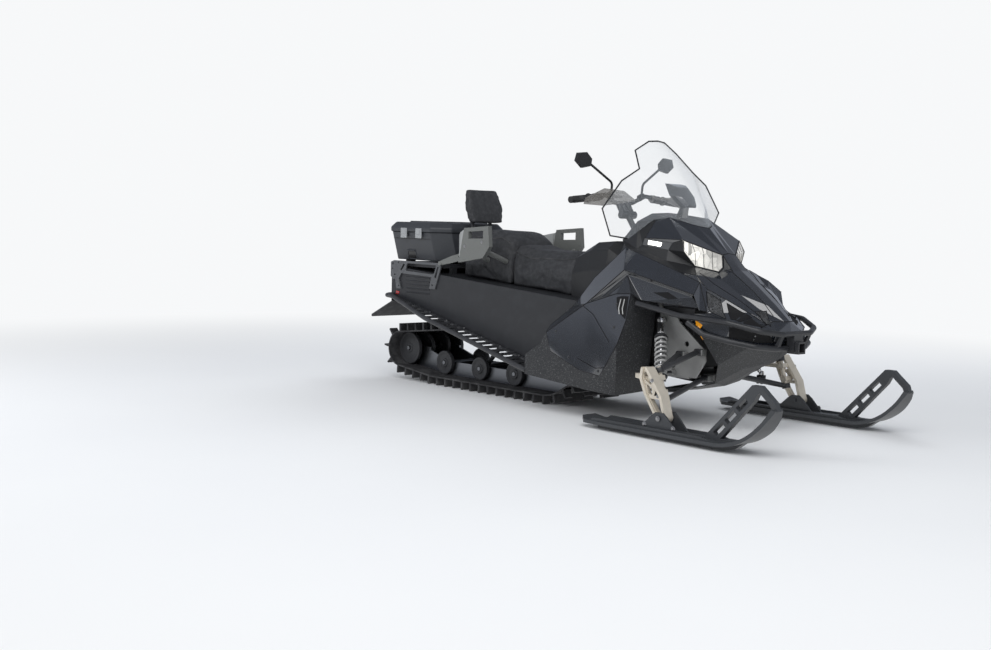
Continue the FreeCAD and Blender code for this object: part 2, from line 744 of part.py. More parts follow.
# windows of the casting, as side-view corners
WINDOWS = [
    [(-98, 296), (-122, 292), (-126, 262), (-86, 238), (-70, 256)],
    [(-78, 222), (-108, 240), (-96, 196), (-72, 192)],
    [(-52, 214), (-62, 190), (-24, 190)],
    [(-84, 174), (-26, 176), (-6, 118), (-38, 112)],
]
plate = side_view(outer, -9, 18)
for corners in WINDOWS:
    plate = plate.cut(side_view(corners, -40, 80))
front_rib = [(18, 84), (22, 104), (-4, 194), (-84, 302), (-98, 318), (-106, 308), (-95, 294),
             (-18, 190), (6, 104), (2, 88)]
rear_rib = [(-136, 314), (-146, 264), (-112, 190), (-44, 92), (-36, 104), (-98, 190), (-130, 262),
            (-124, 306)]
plate = plate.fuse(side_view(front_rib, -casting_half, 2 * casting_half))
plate = plate.fuse(side_view(rear_rib, -casting_half * 0.7, 1.4 * casting_half))
plate = plate.fuse(rod(at(0, -casting_half, pivot_z), at(0, casting_half, pivot_z), 25))
plate = plate.cut(rod(at(0, -60, pivot_z), at(0, 60, pivot_z), bolt + fit_gap))
plate.translate(vec(0, ski_y, 0))
pin = rod(king_low - king_way * 17, king_top + king_way * 17, 10)
lugs = []
for share in (0.26, 0.74):
    centre = king_low + king_way * (king_length * share)
    across = vec(0, 1, 0).cross(king_way)
    corners = [centre + across * a + king_way * b + vec(0, -13, 0)
               for a, b in ((-15, -11), (15, -11), (15, 11), (-15, 11))]
    lugs.append(prism(corners, vec(0, ski_y - king_y + 6, 0)))
arm_low, arm_high = 252, 272
arm_outline = [at(-84, ski_y - 4, arm_low), at(-84, king_y + 4, arm_low), at(-130, king_y, arm_low),
               at(-222, king_y - 12, arm_low), at(-234, king_y, arm_low), at(-222, king_y + 12, arm_low),
               at(-126, ski_y - 2, arm_low)]
steer_arm = prism(arm_outline, vec(0, 0, arm_high - arm_low))
spindle = join([plate, pin, steer_arm] + lugs)
keep("spindle_left", spindle)
keep("spindle_right", mirror(spindle))

# Suspension arms, from pivots on the subframe to eyes round the kingpins

arm_tube = float(size("arm_tube_radius"))
ball = float(size("ball_radius"))
BOSS_HALF, BOSS_RADIUS, BOSS_BORE = 20, 16, 7
# arm, height of the outer eye, inner pivots: x, y, z
ARMS = [
    ("upper_arm", king_top, ((-62, 226, 372), (-170, 226, 352))),
    ("lower_arm", king_low, ((-104, 112, 236), (-300, 226, 222))),
]
PIVOTS = []
arms = []
for label, outer_eye, inner in ARMS:
    pieces = [eye(outer_eye, king_way, 12, 21)]
    for x, y, z in inner:
        boss = at(x, y, z)
        PIVOTS.append((x, y, z))
        pieces.append(eye(boss, AHEAD, BOSS_HALF, BOSS_RADIUS))
        pieces.append(rod(boss + vec(0, 18, 0), outer_eye, arm_tube))
    shared = [at(x, y, z) * 0.45 + outer_eye * 0.55 for x, y, z in inner]
    pieces.append(rod(shared[0], shared[1], arm_tube * 0.8))
    arm = join(pieces).cut(eye(outer_eye, king_way, 40, 10 + fit_gap))
    for x, y, z in inner:
        arm = arm.cut(eye(at(x, y, z), AHEAD, 60, BOSS_BORE + fit_gap))
    if label == "lower_arm":
        foot = at(-146, 396, 206)
        tabs = [bar(at(-158, 396, 193), 8, 34, 44), bar(at(-134, 396, 193), 8, 34, 44)]
        arm = join([arm] + [t.cut(rod(at(-60, 340, 236), at(-240, 340, 236), 1)) for t in tabs])
    arms.append(arm)

keep("suspension_arms", both_sides(Part.makeCompound(arms)))
shock_top, shock_foot = at(-286, 240, 506), at(-146, 396, 222)
front_shock = join(shock(shock_top, shock_foot, 20, 31, 7)
                   + [eye(shock_top, LEFT, 14, 18), eye(at(-146, 396, 218), AHEAD, 7.7, 15)])
front_shock = front_shock.cut(eye(shock_top, LEFT, 60, 8 + fit_gap))
keep("front_shocks", both_sides(front_shock))

# Subframe: side plates with holes, a floor, a front beam, pivot tabs, shock mounts and the steering hoop

tower = [(-300, 244), (-306, 330), (-318, 540), (-225, 548), (-196, 500), (-40, 380), (-34, 330), (-90, 244)]
plate_y = 204
frame = []
for name, sign in SIDES:
    side = side_view(tower, sign * plate_y - 4, 8)
    for x, z, r in ((-150, 402, 13), (-118, 360, 9), (-232, 300, 20)):
        side = side.cut(rod(at(x, -300, z), at(x, 300, z), r))
    frame.append(side)
    frame.append(rod(at(-286, sign * 200, 506), at(-286, sign * 260, 506), 8))
frame.append(bar(at(-303.5, 0, 240), 347, 416, 8))
frame.append(bar(at(-100, 0, 240), 68, 184, 28))
for x, y, z in PIVOTS:
    wall_y = 92 if y < 200 else plate_y
    for sign in (-1, 1):
        for step in (-1, 1):
            centre_x = x + step * (BOSS_HALF + fit_gap + 4)
            tab_y = (wall_y + y + 12) / 2
            frame.append(bar(at(centre_x, sign * tab_y, z), 8, y + 12 - wall_y, 28))
        frame.append(eye(at(x, sign * y, z), AHEAD, BOSS_HALF + 10, BOSS_BORE))
for name, sign in SIDES:
    frame.append(tube([at(-306, sign * 204, 530), at(-450, sign * 130, 750), at(-582, sign * 18, 790)], 11, 60))
lean = math.radians(float(size("post_lean")))
bar_centre = at(-size("bar_back"), 0, size("bar_height"))
post_way = vec(-math.sin(lean), 0, math.cos(lean))
post_radius = float(size("post_radius"))
bearing = bar_centre - post_way * 336
frame.append(eye(bearing, post_way, 18, 28))
for name, sign in SIDES:
    frame.append(rod(at(-222, sign * 196, 262), at(-222, sign * 232, 262), 14))
subframe = join(frame).cut(eye(bearing, post_way, 60, post_radius + fit_gap))
subframe = subframe.cut(rod(at(-222, -300, 262), at(-222, 300, 262), 7 + fit_gap))
keep("subframe", subframe)

# Body: one skin of named points for the left half, cut into panels of even thickness

BODY = {
    # name: x from the pivots, y, z
    # belly and footwell
    "belly_back_low": (-1010, 448, 182), "belly_back_top": (-1010, 448, 283), "belly_step": (-907, 440, 350),
    "well_low": (-577, 440, 148), "well_front": (-407, 420, 138),
    "floor_back": (-1010, 296, 182), "floor_mid": (-577, 296, 152), "floor_front": (-407, 296, 142),
    "wall_in_low": (-384, 222, 150), "wall_in_mid": (-352, 222, 400), "wall_in_top": (-330, 222, 600),
    # lower side panel
    "side_back": (-869, 440, 409), "side_low": (-829, 446, 316), "side_belly": (-620, 450, 242),
    "side_front_low": (-489, 445, 226), "side_front": (-390, 440, 382), "vent_low": (-352, 420, 506),
    "vent_top": (-343, 400, 635), "vent_back": (-433, 408, 629),
    # upper side band
    "band_back": (-878, 400, 444), "band_knee": (-762, 360, 545), "band_rise": (-659, 320, 693),
    "band_top": (-475, 300, 852), "band_fall": (-379, 300, 822), "band_mid": (-162, 280, 748),
    "band_front": (-38, 270, 703), "band_foot": (32, 300, 572), "band_foot_in": (14, 330, 578),
    "drop_top": (-12, 345, 648), "crease_front": (-412, 380, 744), "crease_back": (-615, 420, 571),
    # recess under the band, and the shelf that the bumper lies on
    "recess_front": (-40, 318, 636), "recess_mid": (-406, 358, 722), "recess_back": (-545, 392, 606),
    "shelf_mid": (-300, 372, 604), "shelf_front": (2, 312, 584),
    # knee side of the bodywork
    "knee_low": (-842, 306, 430), "knee_a": (-792, 302, 540), "knee_b": (-700, 282, 640),
    "knee_c": (-600, 232, 760), "knee_d": (-520, 264, 866),
    # hood
    "spine_top": (-80, 50, 829), "spine_foot": (-72, 52, 767), "lamp_foot": (-80, 74, 746),
    "lamp_low": (-144, 180, 772), "lamp_left": (-169, 240, 842), "lamp_top": (-188, 220, 896),
    "spine_a": (-10, 58, 752), "spine_b": (98, 56, 674), "spine_c": (192, 46, 602), "nose_tip": (273, 30, 534),
    "mid_top": (-84, 0, 836), "mid_a": (-8, 0, 758), "mid_b": (100, 0, 682), "mid_c": (194, 0, 609),
    "mid_tip": (280, 0, 535),
    "valley_a": (-34, 112, 716), "valley_b": (76, 108, 648), "valley_c": (160, 84, 590), "valley_d": (238, 70, 534),
    "edge_a": (-88, 236, 734), "edge_b": (-18, 240, 674), "edge_c": (69, 205, 628), "edge_d": (155, 150, 572),
    "edge_e": (222, 100, 520),
    # nose sides: line of the upper bumper, the shadow line under it, the belly
    "rim_a": (34, 296, 566), "rim_b": (150, 262, 530), "rim_c": (238, 186, 500), "rim_d": (282, 100, 486),
    "rim_tip": (292, 0, 484),
    "low_a": (-36, 318, 500), "low_b": (126, 276, 446), "low_c": (212, 196, 424), "low_d": (258, 100, 412),
    "low_tip": (268, 0, 410),
    "fork_a": (-49, 322, 558), "fork_b": (6, 304, 458), "fork_c": (34, 204, 318),
    "keel_a": (-70, 0, 196), "keel_b": (75, 0, 281), "keel_c": (208, 0, 340), "keel_a_side": (-60, 96, 214),
    "keel_b_side": (84, 70, 300),
    "pan_mid": (-240, 0, 158), "pan_mid_side": (-240, 100, 162), "pan_back": (-476, 0, 134),
    "pan_back_side": (-420, 140, 140), "pan_end_side": (-476, 296, 144),
    # cowl and lamps
    "cowl_back": (-378, 200, 987), "cowl_top": (-332, 152, 1001), "cowl_mid": (-204, 0, 954),
    "cowl_ridge": (-236, 60, 965),
    "marker_back": (-390, 262, 899), "marker_front": (-248, 226, 879),
    "marker_low_back": (-402, 262, 866), "marker_low_front": (-262, 236, 846),
    "duct_back": (-420, 286, 846), "duct_mid": (-250, 262, 796), "duct_front": (-150, 236, 756),
    # console behind the cowl
    "console_side": (-474, 222, 980), "console_ridge": (-470, 120, 1020), "console_mid": (-466, 0, 1026),
    "console_back_side": (-566, 226, 886), "console_back_in": (-560, 120, 930), "console_back_mid": (-548, 0, 940),
}
PANELS = {
    "belly_pan": [
        ("well_front", "well_low", "side_front_low", "side_front"),
        ("well_low", "belly_back_low", "side_belly", "side_front_low"),
        ("belly_back_low", "belly_back_top", "side_belly"), ("belly_back_top", "side_low", "side_belly"),
        ("side_low", "belly_back_top", "belly_step", "side_back"),
        ("well_low", "well_front", "floor_front", "floor_mid"),
        ("belly_back_low", "well_low", "floor_mid", "floor_back"),
        ("well_front", "side_front", "wall_in_mid", "wall_in_low"),
        ("vent_low", "vent_top", "wall_in_top", "wall_in_mid", "side_front"),
        ("floor_front", "well_front", "wall_in_low"),
    ],
    "side_panel": [
        ("side_back", "crease_back", "side_belly", "side_low"),
        ("crease_back", "side_front_low", "side_belly"),
        ("crease_back", "side_front", "side_front_low"), ("crease_back", "vent_back", "side_front"),
        ("vent_back", "vent_low", "side_front"), ("vent_back", "vent_top", "vent_low"),
    ],
    "side_band": [
        ("side_back", "band_back", "crease_back"), ("band_back", "band_knee", "crease_back"),
        ("band_knee", "band_rise", "crease_back"), ("band_rise", "crease_front", "crease_back"),
        ("band_rise", "band_top", "crease_front"), ("band_top", "band_fall", "crease_front"),
        ("band_fall", "band_mid", "crease_front"), ("band_mid", "drop_top", "crease_front"),
        ("band_mid", "band_front", "drop_top"), ("band_front", "band_foot", "band_foot_in", "drop_top"),
    ],
    "recess": [
        ("crease_back", "crease_front", "recess_mid", "recess_back"),
        ("crease_front", "drop_top", "recess_front", "recess_mid"),
        ("vent_back", "crease_back", "recess_back"), ("vent_back", "recess_back", "recess_mid"),
        ("vent_back", "recess_mid", "vent_top"), ("vent_top", "recess_mid", "shelf_mid"),
        ("recess_mid", "recess_front", "shelf_mid"), ("recess_front", "shelf_front", "shelf_mid"),
    ],
    "knee": [
        ("band_knee", "band_back", "knee_low", "knee_a"), ("band_rise", "band_knee", "knee_a", "knee_b"),
        ("band_rise", "knee_b", "knee_c"), ("band_top", "band_rise", "knee_c", "knee_d"),
    ],
    "hood": [
        ("spine_foot", "spine_a", "mid_a", "mid_top", "spine_top"), ("mid_a", "spine_a", "spine_b", "mid_b"),
        ("mid_b", "spine_b", "spine_c", "mid_c"), ("mid_c", "spine_c", "nose_tip", "mid_tip"),
        ("spine_foot", "lamp_foot", "valley_a", "spine_a"), ("spine_a", "valley_a", "valley_b", "spine_b"),
        ("spine_b", "valley_b", "valley_c", "spine_c"), ("spine_c", "valley_c", "valley_d", "nose_tip"),
        ("lamp_foot", "lamp_low", "valley_a"), ("lamp_low", "edge_a", "valley_a"),
        ("valley_a", "edge_a", "edge_b"), ("valley_a", "edge_b", "edge_c", "valley_b"),
        ("valley_b", "edge_c", "edge_d", "valley_c"), ("valley_c", "edge_d", "edge_e", "valley_d"),
    ],
    "nose": [
        ("edge_a", "band_mid", "band_front"), ("edge_a", "band_front", "edge_b"),
        ("edge_b", "band_front", "band_foot"), ("edge_b", "band_foot", "edge_c"),
        ("edge_c", "band_foot", "rim_a"), ("edge_c", "rim_a", "rim_b", "edge_d"),
        ("edge_d", "rim_b", "rim_c", "edge_e"), ("edge_e", "rim_c", "rim_d", "valley_d"),
        ("valley_d", "rim_d", "nose_tip"), ("nose_tip", "rim_d", "rim_tip", "mid_tip"),
        ("rim_a", "fork_a", "low_a", "low_b", "rim_b"),
        ("rim_b", "low_b", "low_c", "rim_c"), ("rim_c", "low_c", "low_d", "rim_d"),
        ("rim_d", "low_d", "low_tip", "rim_tip"),
    ],
    "nose_belly": [
        ("low_a", "fork_b", "low_b"), ("fork_b", "fork_c", "low_b"), ("fork_c", "low_c", "low_b"),
        ("fork_c", "keel_b_side", "keel_c", "low_c"), ("low_c", "keel_c", "low_d"),
        ("low_d", "keel_c", "low_tip"), ("fork_c", "keel_a_side", "keel_b_side"),
        ("keel_a_side", "keel_a", "keel_b", "keel_b_side"), ("keel_b_side", "keel_b", "keel_c"),
        ("keel_a_side", "pan_mid_side", "pan_mid", "keel_a"),
        ("pan_mid_side", "pan_back_side", "pan_back", "pan_mid"),
        ("pan_back_side", "pan_end_side", "pan_back"),
    ],
    "cowl": [
        ("cowl_mid", "cowl_ridge", "spine_top", "mid_top"), ("cowl_ridge", "cowl_top", "lamp_top", "spine_top"),
        ("cowl_top", "cowl_back", "marker_back", "marker_front", "lamp_top"),
    ],
    "headlight": [
        ("lamp_top", "lamp_left", "lamp_low", "lamp_foot", "spine_foot", "spine_top"),
    ],
    "marker": [("marker_back", "marker_low_back", "marker_low_front", "marker_front")],
    "duct": [
        ("marker_low_back", "duct_back", "duct_mid", "marker_low_front"),
        ("lamp_left", "marker_low_front", "duct_mid", "duct_front", "lamp_low"),
        ("marker_front", "marker_low_front", "lamp_left", "lamp_top"),
        ("duct_back", "band_top", "band_fall"), ("duct_back", "band_fall", "duct_mid"),
        ("duct_mid", "band_fall", "band_mid"), ("duct_mid", "band_mid", "duct_front"),
        ("duct_front", "band_mid", "edge_a", "lamp_low"),
    ],
    "console": [
        ("cowl_mid", "console_mid", "console_ridge", "cowl_ridge"), ("cowl_ridge", "console_ridge", "cowl_top"),
        ("cowl_top", "console_ridge", "console_side", "cowl_back"),
        ("console_ridge", "console_mid", "console_back_mid", "console_back_in"),
        ("console_side", "console_ridge", "console_back_in", "console_back_side"),
        ("console_side", "marker_low_back", "marker_back", "cowl_back"),
        ("console_back_side", "duct_back", "marker_low_back", "console_side"),
        ("console_back_side", "knee_d", "band_top", "duct_back"),
    ],
}
skin = float(size("skin"))


def turned_alike(faces):
    """The faces, all turned to the same side of the skin as the first, by way of their shared edges."""
    by_edge = {}
    for i, face in enumerate(faces):
        for a, b in zip(face, face[1:] + face[:1]):
            by_edge.setdefault(frozenset((a, b)), []).append(i)
    turned = {0: tuple(faces[0])}
    waiting = [0]
    while waiting:
        i = waiting.pop()
        face = turned[i]
        for a, b in zip(face, face[1:] + face[:1]):
            for j in by_edge[frozenset((a, b))]:
                if j in turned:
                    continue
                other = tuple(faces[j])
                steps = list(zip(other, other[1:] + other[:1]))
                turned[j] = tuple(reversed(other)) if (a, b) in steps else other
                waiting.append(j)
    if len(turned) < len(faces):
        raise RuntimeError("a face of the skin meets no other")
    return [turned[i] for i in range(len(faces))]


skin_points = {name: at(*place) for name, place in BODY.items()}
all_faces = turned_alike([face for faces in PANELS.values() for face in faces])
skin_faces = {}
for name, faces in PANELS.items():
    skin_faces[name], all_faces = all_faces[:len(faces)], all_faces[len(faces):]
normals = skin_normals(skin_points, [face for faces in skin_faces.values() for face in faces])


def half_panel(names):
    return skin_panel(skin_points, normals, [face for name in names for face in skin_faces[name]], skin)


def whole_panel(names):
    """A panel that crosses the middle plane, made from a half and its mirror image."""
    piece = half_panel(names)
    return piece.fuse(mirror(piece)).removeSplitter()


keep("side_panels", both_sides(half_panel(["side_panel"])))
keep("side_bands", both_sides(half_panel(["side_band"])))
side_recess = half_panel(["recess"])
keep("side_recesses", both_sides(side_recess))
keep("footwells", both_sides(half_panel(["belly_pan"]).cut(side_recess)))
keep("hood", whole_panel(["hood"]))
keep("nose", whole_panel(["nose"]))
keep("nose_belly", whole_panel(["nose_belly"]))
keep("cowl", whole_panel(["cowl"]))
keep("console", whole_panel(["console", "duct", "knee"]))
keep("headlights", both_sides(half_panel(["headlight"])))
keep("marker_lamps", both_sides(half_panel(["marker"])))

# Windshield: a clear screen with side wings, on the cowl

SCREEN = {
    "a0": (-204, 0, 949), "a1": (-236, 62, 960), "a2": (-334, 156, 995), "a3": (-382, 210, 990),
    "a4": (-470, 290, 893),
    "b0": (-300, 0, 1075), "b1": (-312, 60, 1077), "b2": (-372, 156, 1090), "b3": (-436, 262, 1066),
    "w1": (-507, 382, 906), "w2": (-500, 452, 1035),
    "c0": (-388, 0, 1191), "c1": (-398, 60, 1191), "c2": (-440, 150, 1200), "c3": (-488, 206, 1236),
    "w3": (-494, 326, 1173),
    "d0": (-502, 0, 1330), "d1": (-510, 60, 1329), "d2": (-562, 158, 1330), "e0": (-552, 0, 1385),
    "e1": (-560, 60, 1380),
}
SCREEN_FACES = [
    ("a0", "a1", "b1", "b0"), ("a1", "a2", "b2", "b1"), ("a2", "a3", "b3", "b2"), ("a3", "a4", "b3"),
    ("b3", "a4", "w1"), ("b3", "w1", "w2"), ("b3", "w2", "w3"), ("b2", "b3", "c3", "c2"), ("b3", "w3", "c3"),
    ("b0", "b1", "c1", "c0"), ("b1", "b2", "c2", "c1"), ("c0", "c1", "d1", "d0"), ("c1", "c2", "d2", "d1"),
    ("c2", "c3", "d2"), ("d0", "d1", "e1", "e0"), ("d1", "d2", "e1"),
]
screen_points = {name: at(*place) for name, place in SCREEN.items()}
screen_normals = skin_normals(screen_points, SCREEN_FACES)
screen = skin_panel(screen_points, screen_normals, SCREEN_FACES, size("screen_thick"))
screen = screen.fuse(mirror(screen))
for carrier in ("cowl", "console"):
    screen = screen.cut(doc.getObject(carrier).Shape)
keep("windshield", max(screen.Solids, key=lambda piece: piece.Volume))


def ruled(sections):
    """A solid through a few outlines with the same number of corners, by straight rulings."""
    wires = [Part.makePolygon(list(s) + [s[0]]) for s in sections]
    return Part.makeLoft(wires, True, True)


def half_round(x, rows):
    """A closed outline across the machine at one station: rows of half width and height, top first."""
    right = [at(x, -w, z) for w, z in rows]
    left = [at(x, w, z) for w, z in reversed(rows)]
    return right + left


# Display pod behind the windshield, on a short stem from the console
POD = [
    # distance behind the front face, then half width and height of the three corners a side, top first
    (0, ((40, 1150), (50, 1104), (28, 1062))),
    (20, ((58, 1164), (72, 1106), (40, 1052))),
    (52, ((58, 1170), (76, 1110), (40, 1052))),
]


def pod_outline(back, rows):
    """One outline of the pod, leaning with the screen in front of it."""
    right = [at(-308 - back - 0.76 * (z - 1056), -w, z) for w, z in rows]
    left = [at(-308 - back - 0.76 * (z - 1056), w, z) for w, z in reversed(rows)]
    return right + left


pod = ruled([pod_outline(back, rows) for back, rows in POD])
stem = prism([at(-352, -22, 1070), at(-372, -22, 1060), at(-398, -22, 1008.8), at(-360, -22, 998.4)], vec(0, 44, 0))
keep("display_pod", join([pod, stem]))

# Fuel tank and the seats
tank = ruled([
    half_round(-650, [(90, 836), (150, 800), (196, 700), (196, tunnel_top(-650) + fit_gap)]),
    half_round(-700, [(120, 876), (180, 836), (204, 720), (204, tunnel_top(-700) + fit_gap)]),
    half_round(-830, [(110, 866), (165, 826), (196, 720), (196, tunnel_top(-830) + fit_gap)]),
    half_round(-960, [(90, 806), (140, 780), (170, 700), (170, tunnel_top(-960) + fit_gap)]),
])
keep("fuel_tank", tank)

seat_front = ruled([
    half_round(-960.3, [(88, 812), (138, 784), (166, 700), (166, tunnel_top(-960.3) + fit_gap)]),
    half_round(-1060, [(110, 800), (150, 778), (172, 700), (172, tunnel_top(-1060) + fit_gap)]),
    half_round(-1300, [(128, 806), (166, 782), (180, 700), (180, tunnel_top(-1300) + fit_gap)]),
    half_round(-1420, [(132, 838), (168, 812), (182, 720), (182, tunnel_top(-1420) + fit_gap)]),
])
seat_rear = ruled([
    half_round(-1420.3, [(132, 866), (168, 842), (182, 740), (182, tunnel_top(-1420.3) + fit_gap)]),
    half_round(-1500, [(140, 902), (176, 880), (186, 760), (186, tunnel_top(-1500) + fit_gap)]),
    half_round(-1700, [(142, 906), (176, 884), (186, 770), (186, tunnel_top(-1700) + fit_gap)]),
    half_round(-1830, [(136, 912), (168, 890), (180, 780), (180, tunnel_top(-1830) + fit_gap)]),
])
keep("seats", Part.makeCompound([seat_front, seat_rear]))
back_rest = ruled([
    [at(-1800, -120, 945), at(-1800, 120, 945), at(-1862, 120, 940), at(-1862, -120, 940)],
    [at(-1822, -140, 1040), at(-1822, 140, 1040), at(-1880, 140, 1034), at(-1880, -140, 1034)],
    [at(-1862, -120, 1150), at(-1862, 120, 1150), at(-1900, 120, 1146), at(-1900, -120, 1146)],
])
rest_posts = [tube([at(-1845, y, 640), at(-1872, y, 940), at(-1896, y, 1100)], 11, 80) for y in (-70, 70)]
keep("backrest", join([back_rest] + rest_posts).cut(shell))

# Passenger's side guards with their hand holds, on the seat's sides
guards = []
for sign in (-1, 1):
    guard_side = [(-1640, 728), (-1597, 919), (-1401, 934), (-1389, 822), (-1440, 760)]
    outer_shift = vec(0, sign * 372, 0)
    face_in = [at(x, 0, z) for x, z in guard_side]
    plate = prism([p + outer_shift for p in face_in], vec(0, -sign * 26, 0))
    hole = [(-1560, 862), (-1560, 900), (-1440, 908), (-1440, 866)]
    plate = plate.cut(prism([at(x, sign * 380, z) for x, z in hole], vec(0, -sign * 60, 0)))
    struts = [rod(at(x, sign * 350, z), at(x, sign * 184, z - 60), 14) for x, z in ((-1590, 800), (-1450, 800))]
    guards.append(join([plate] + struts))
guard_pair = Part.makeCompound(guards)
keep("passenger_guards", guard_pair.cut(seat_rear))

# Engine: one plain block
engine = [bar(at(-292, 0, 426), 300, 330, 292)]
engine += [bar(at(x, y, 264), 44, 50, 39.4) for x in (-400, -176) for y in (-120, 120)]
keep("engine_block", join(engine))

# Front bumper: two tubes each side joined at the nose, end brackets, and the receiver
upper = [at(-321, 384, 590), at(-91, 352, 548), at(151, 296, 529), at(270, 216, 497), at(320, 110, 482)]
lower = [at(-39, 350, 520), at(40, 334, 470), at(150, 292, 446), at(244, 212, 424), at(292, 110, 413)]
upper_radius = float(size("bumper_radius"))
rail_up = tube(upper + [at(p.x - float(PIVOT), -p.y, p.z) for p in reversed(upper)], upper_radius, 60)
rail_low = tube(lower + [at(p.x - float(PIVOT), -p.y, p.z) for p in reversed(lower)], upper_radius, 60)
receiver = join([bar(at(312, 0, 447), 40, 70, 88), bar(at(322, 0, 418), 60, 56, 56)])
receiver = receiver.cut(bar(at(340, 0, 418), 70, 40, 40))
links = []
for sign in (-1, 1):
    links.append(prism([at(322, sign * 96, 494), at(322, sign * 96, 474), at(290, sign * 96, 400),
                        at(280, sign * 96, 420)], vec(0, sign * 22, 0)))
keep("front_bumper", join([rail_up, rail_low, receiver] + links))

# Steering: handlebar on its raked post, grips, handguards, mirrors
post_foot = bar_centre - post_way * 430
bar_radius = float(size("bar_radius"))
bar_points = [at(-753, 405, 1078), at(-748, 262, 1092), at(-752, 150, 1112), at(-775, 70, 1072),
              at(-775, -70, 1072), at(-752, -150, 1112), at(-748, -262, 1092), at(-753, -405, 1078)]
handlebar = join([tube(bar_points, bar_radius, 40), rod(post_foot, bar_centre, post_radius),
                  rod(bar_centre - post_way * 60 + vec(0, -34, 0), bar_centre + vec(0, -34, 8), 15),
                  rod(bar_centre - post_way * 60 + vec(0, 34, 0), bar_centre + vec(0, 34, 8), 15),
                  eye(bar_centre - post_way * 66, LEFT, 52, 20)])
keep("handlebar", handlebar)
grip_length, grip_radius = float(size("grip_length")), float(size("grip_radius"))
grips = []
for sign in (-1, 1):
    bar_end = at(-753, sign * 405, 1078)
    inner_way = (at(-748, sign * 262, 1092) - bar_end).normalize()
    outer_end = bar_end - inner_way * 3
    grip = rod(outer_end - inner_way * 6, outer_end + inner_way * grip_length, grip_radius)
    flange = rod(outer_end + inner_way * (grip_length - 8), outer_end + inner_way * grip_length, grip_radius + 7)
    grip = grip.fuse(flange)
    grips.append(grip.cut(rod(outer_end + inner_way * (3 - fit_gap), outer_end + inner_way * 300, bar_radius + fit_gap)))
keep("grips", Part.makeCompound(grips))

# Handguards: shields ahead of the grips
GUARD = {
    "p0": (-676, 398, 1058), "p1": (-664, 398, 1088), "p2": (-640, 290, 1138), "p3": (-600, 190, 1128),
    "p4": (-576, 120, 1080), "p5": (-600, 200, 1066), "p6": (-640, 300, 1052),
}
GUARD_FACES = [("p0", "p6", "p1"), ("p6", "p2", "p1"), ("p6", "p5", "p2"), ("p5", "p3", "p2"), ("p5", "p4", "p3")]
guard_points = {name: at(*place) for name, place in GUARD.items()}
guard_normals = skin_normals(guard_points, GUARD_FACES)
hand_guard = skin_panel(guard_points, guard_normals, GUARD_FACES, size("guard_thick"))
stay = rod(at(-750, 205, 1101), at(-570, 205, 1098), 7)
stay_foot = eye(at(-750, 205, 1101), LEFT, 14, bar_radius + 7).cut(eye(at(-750, 205, 1101), LEFT, 20, bar_radius - 1))
stay = min(stay.cut(hand_guard).Solids, key=lambda piece: piece.BoundBox.XMin)
stays = join([stay, stay_foot]).cut(tube(bar_points, bar_radius, 40))
keep("handguards", both_sides(Part.makeCompound([hand_guard, stays])))

# Mirrors on stems from the handlebar
head = [(-770, 268, 1250), (-770, 262, 1286), (-770, 300, 1318), (-770, 362, 1312), (-770, 376, 1272),
        (-770, 330, 1238)]
mirror_head = prism([at(*p) for p in head], vec(16, 0, 0))
mirror_stem = tube([at(-752, 118, 1096), at(-745, 118, 1172), at(-762, 300, 1278)], 6, 30)
mirror_foot = rod(at(-752, 104, 1100), at(-752, 132, 1112), 17)
mirrors = join([mirror_head, mirror_stem, mirror_foot]).cut(tube(bar_points, bar_radius, 40))
keep("mirrors", both_sides(mirrors))

# Tie rods from the steering arms inward
tie = []
for name, sign in SIDES:
    a = at(-222, sign * (king_y - 21), 262)
    b = at(-222, sign * 110, 262)
    rod_body = join([rod(a, b, 7), rod(a, a - vec(0, sign * 34, 0), 11)])
    keep(f"tie_rod_{name}", rod_body)

# Rear rack, its posts and stays, on the tunnel
rack_half = float(size("rack_half_width"))
rack_bar = float(size("rack_bar"))
rack_top = float(size("rack_top"))
deck = []
side_rail = [at(-1925, 0, rack_top - rack_bar), at(-1925, 0, rack_top), at(-2378, 0, rack_top),
             at(-2378, 0, rack_top - rack_bar)]
for sign in (-1, 1):
    y = sign * rack_half - rack_bar / 2
    deck.append(prism([p + vec(0, y, 0) for p in side_rail], vec(0, rack_bar, 0)))
    post = [(-1960, 684), (-1930, 684), (-1955, 600), (-1985, 600)]
    deck.append(prism([at(x, sign * 262 - 6, z) for x, z in post], vec(0, 12, 0)))
    side = [(-1955, 612), (-2330, 640), (-2372, 682), (-2344, 690), (-2316, 660), (-1955, 636)]
    deck.append(prism([at(x, sign * 262 - 6, z) for x, z in side], vec(0, 12, 0)))
for x in (-1940, -2085, -2225, -2364):
    deck.append(bar(at(x, 0, rack_top - rack_bar / 2), rack_bar, 2 * rack_half, rack_bar))
for x in (-1940, -2085, -2225):
    for sign in (-1, 1):
        deck.append(bar(at(x, sign * 150, 665), 24, 40, 50))
deck_plate = bar(at(-2150, 0, rack_top - 3), 420, 2 * rack_half, 6)
holes = []
for sx in (-1, 1):
    for sy in (-1, 1):
        x = -2150 + sx * float(size("anchor_spacing_x")) / 2
        y = sy * float(size("anchor_spacing_y")) / 2
        holes.append(rod(at(x, y, 600), at(x, y, 760), size("anchor_hole_radius")))
rack = join(deck + [deck_plate])
for hole in holes:
    rack = rack.cut(hole)
keep("rear_rack", rack.cut(shell).cut(room))

# Cargo box with its lid and latches
box_x = -float(size("box_back"))
box_length, box_width = float(size("box_length")), float(size("box_width"))
box_low, box_height = float(size("box_floor")), float(size("box_height"))
taper, box_wall = float(size("box_taper")), float(size("box_wall"))


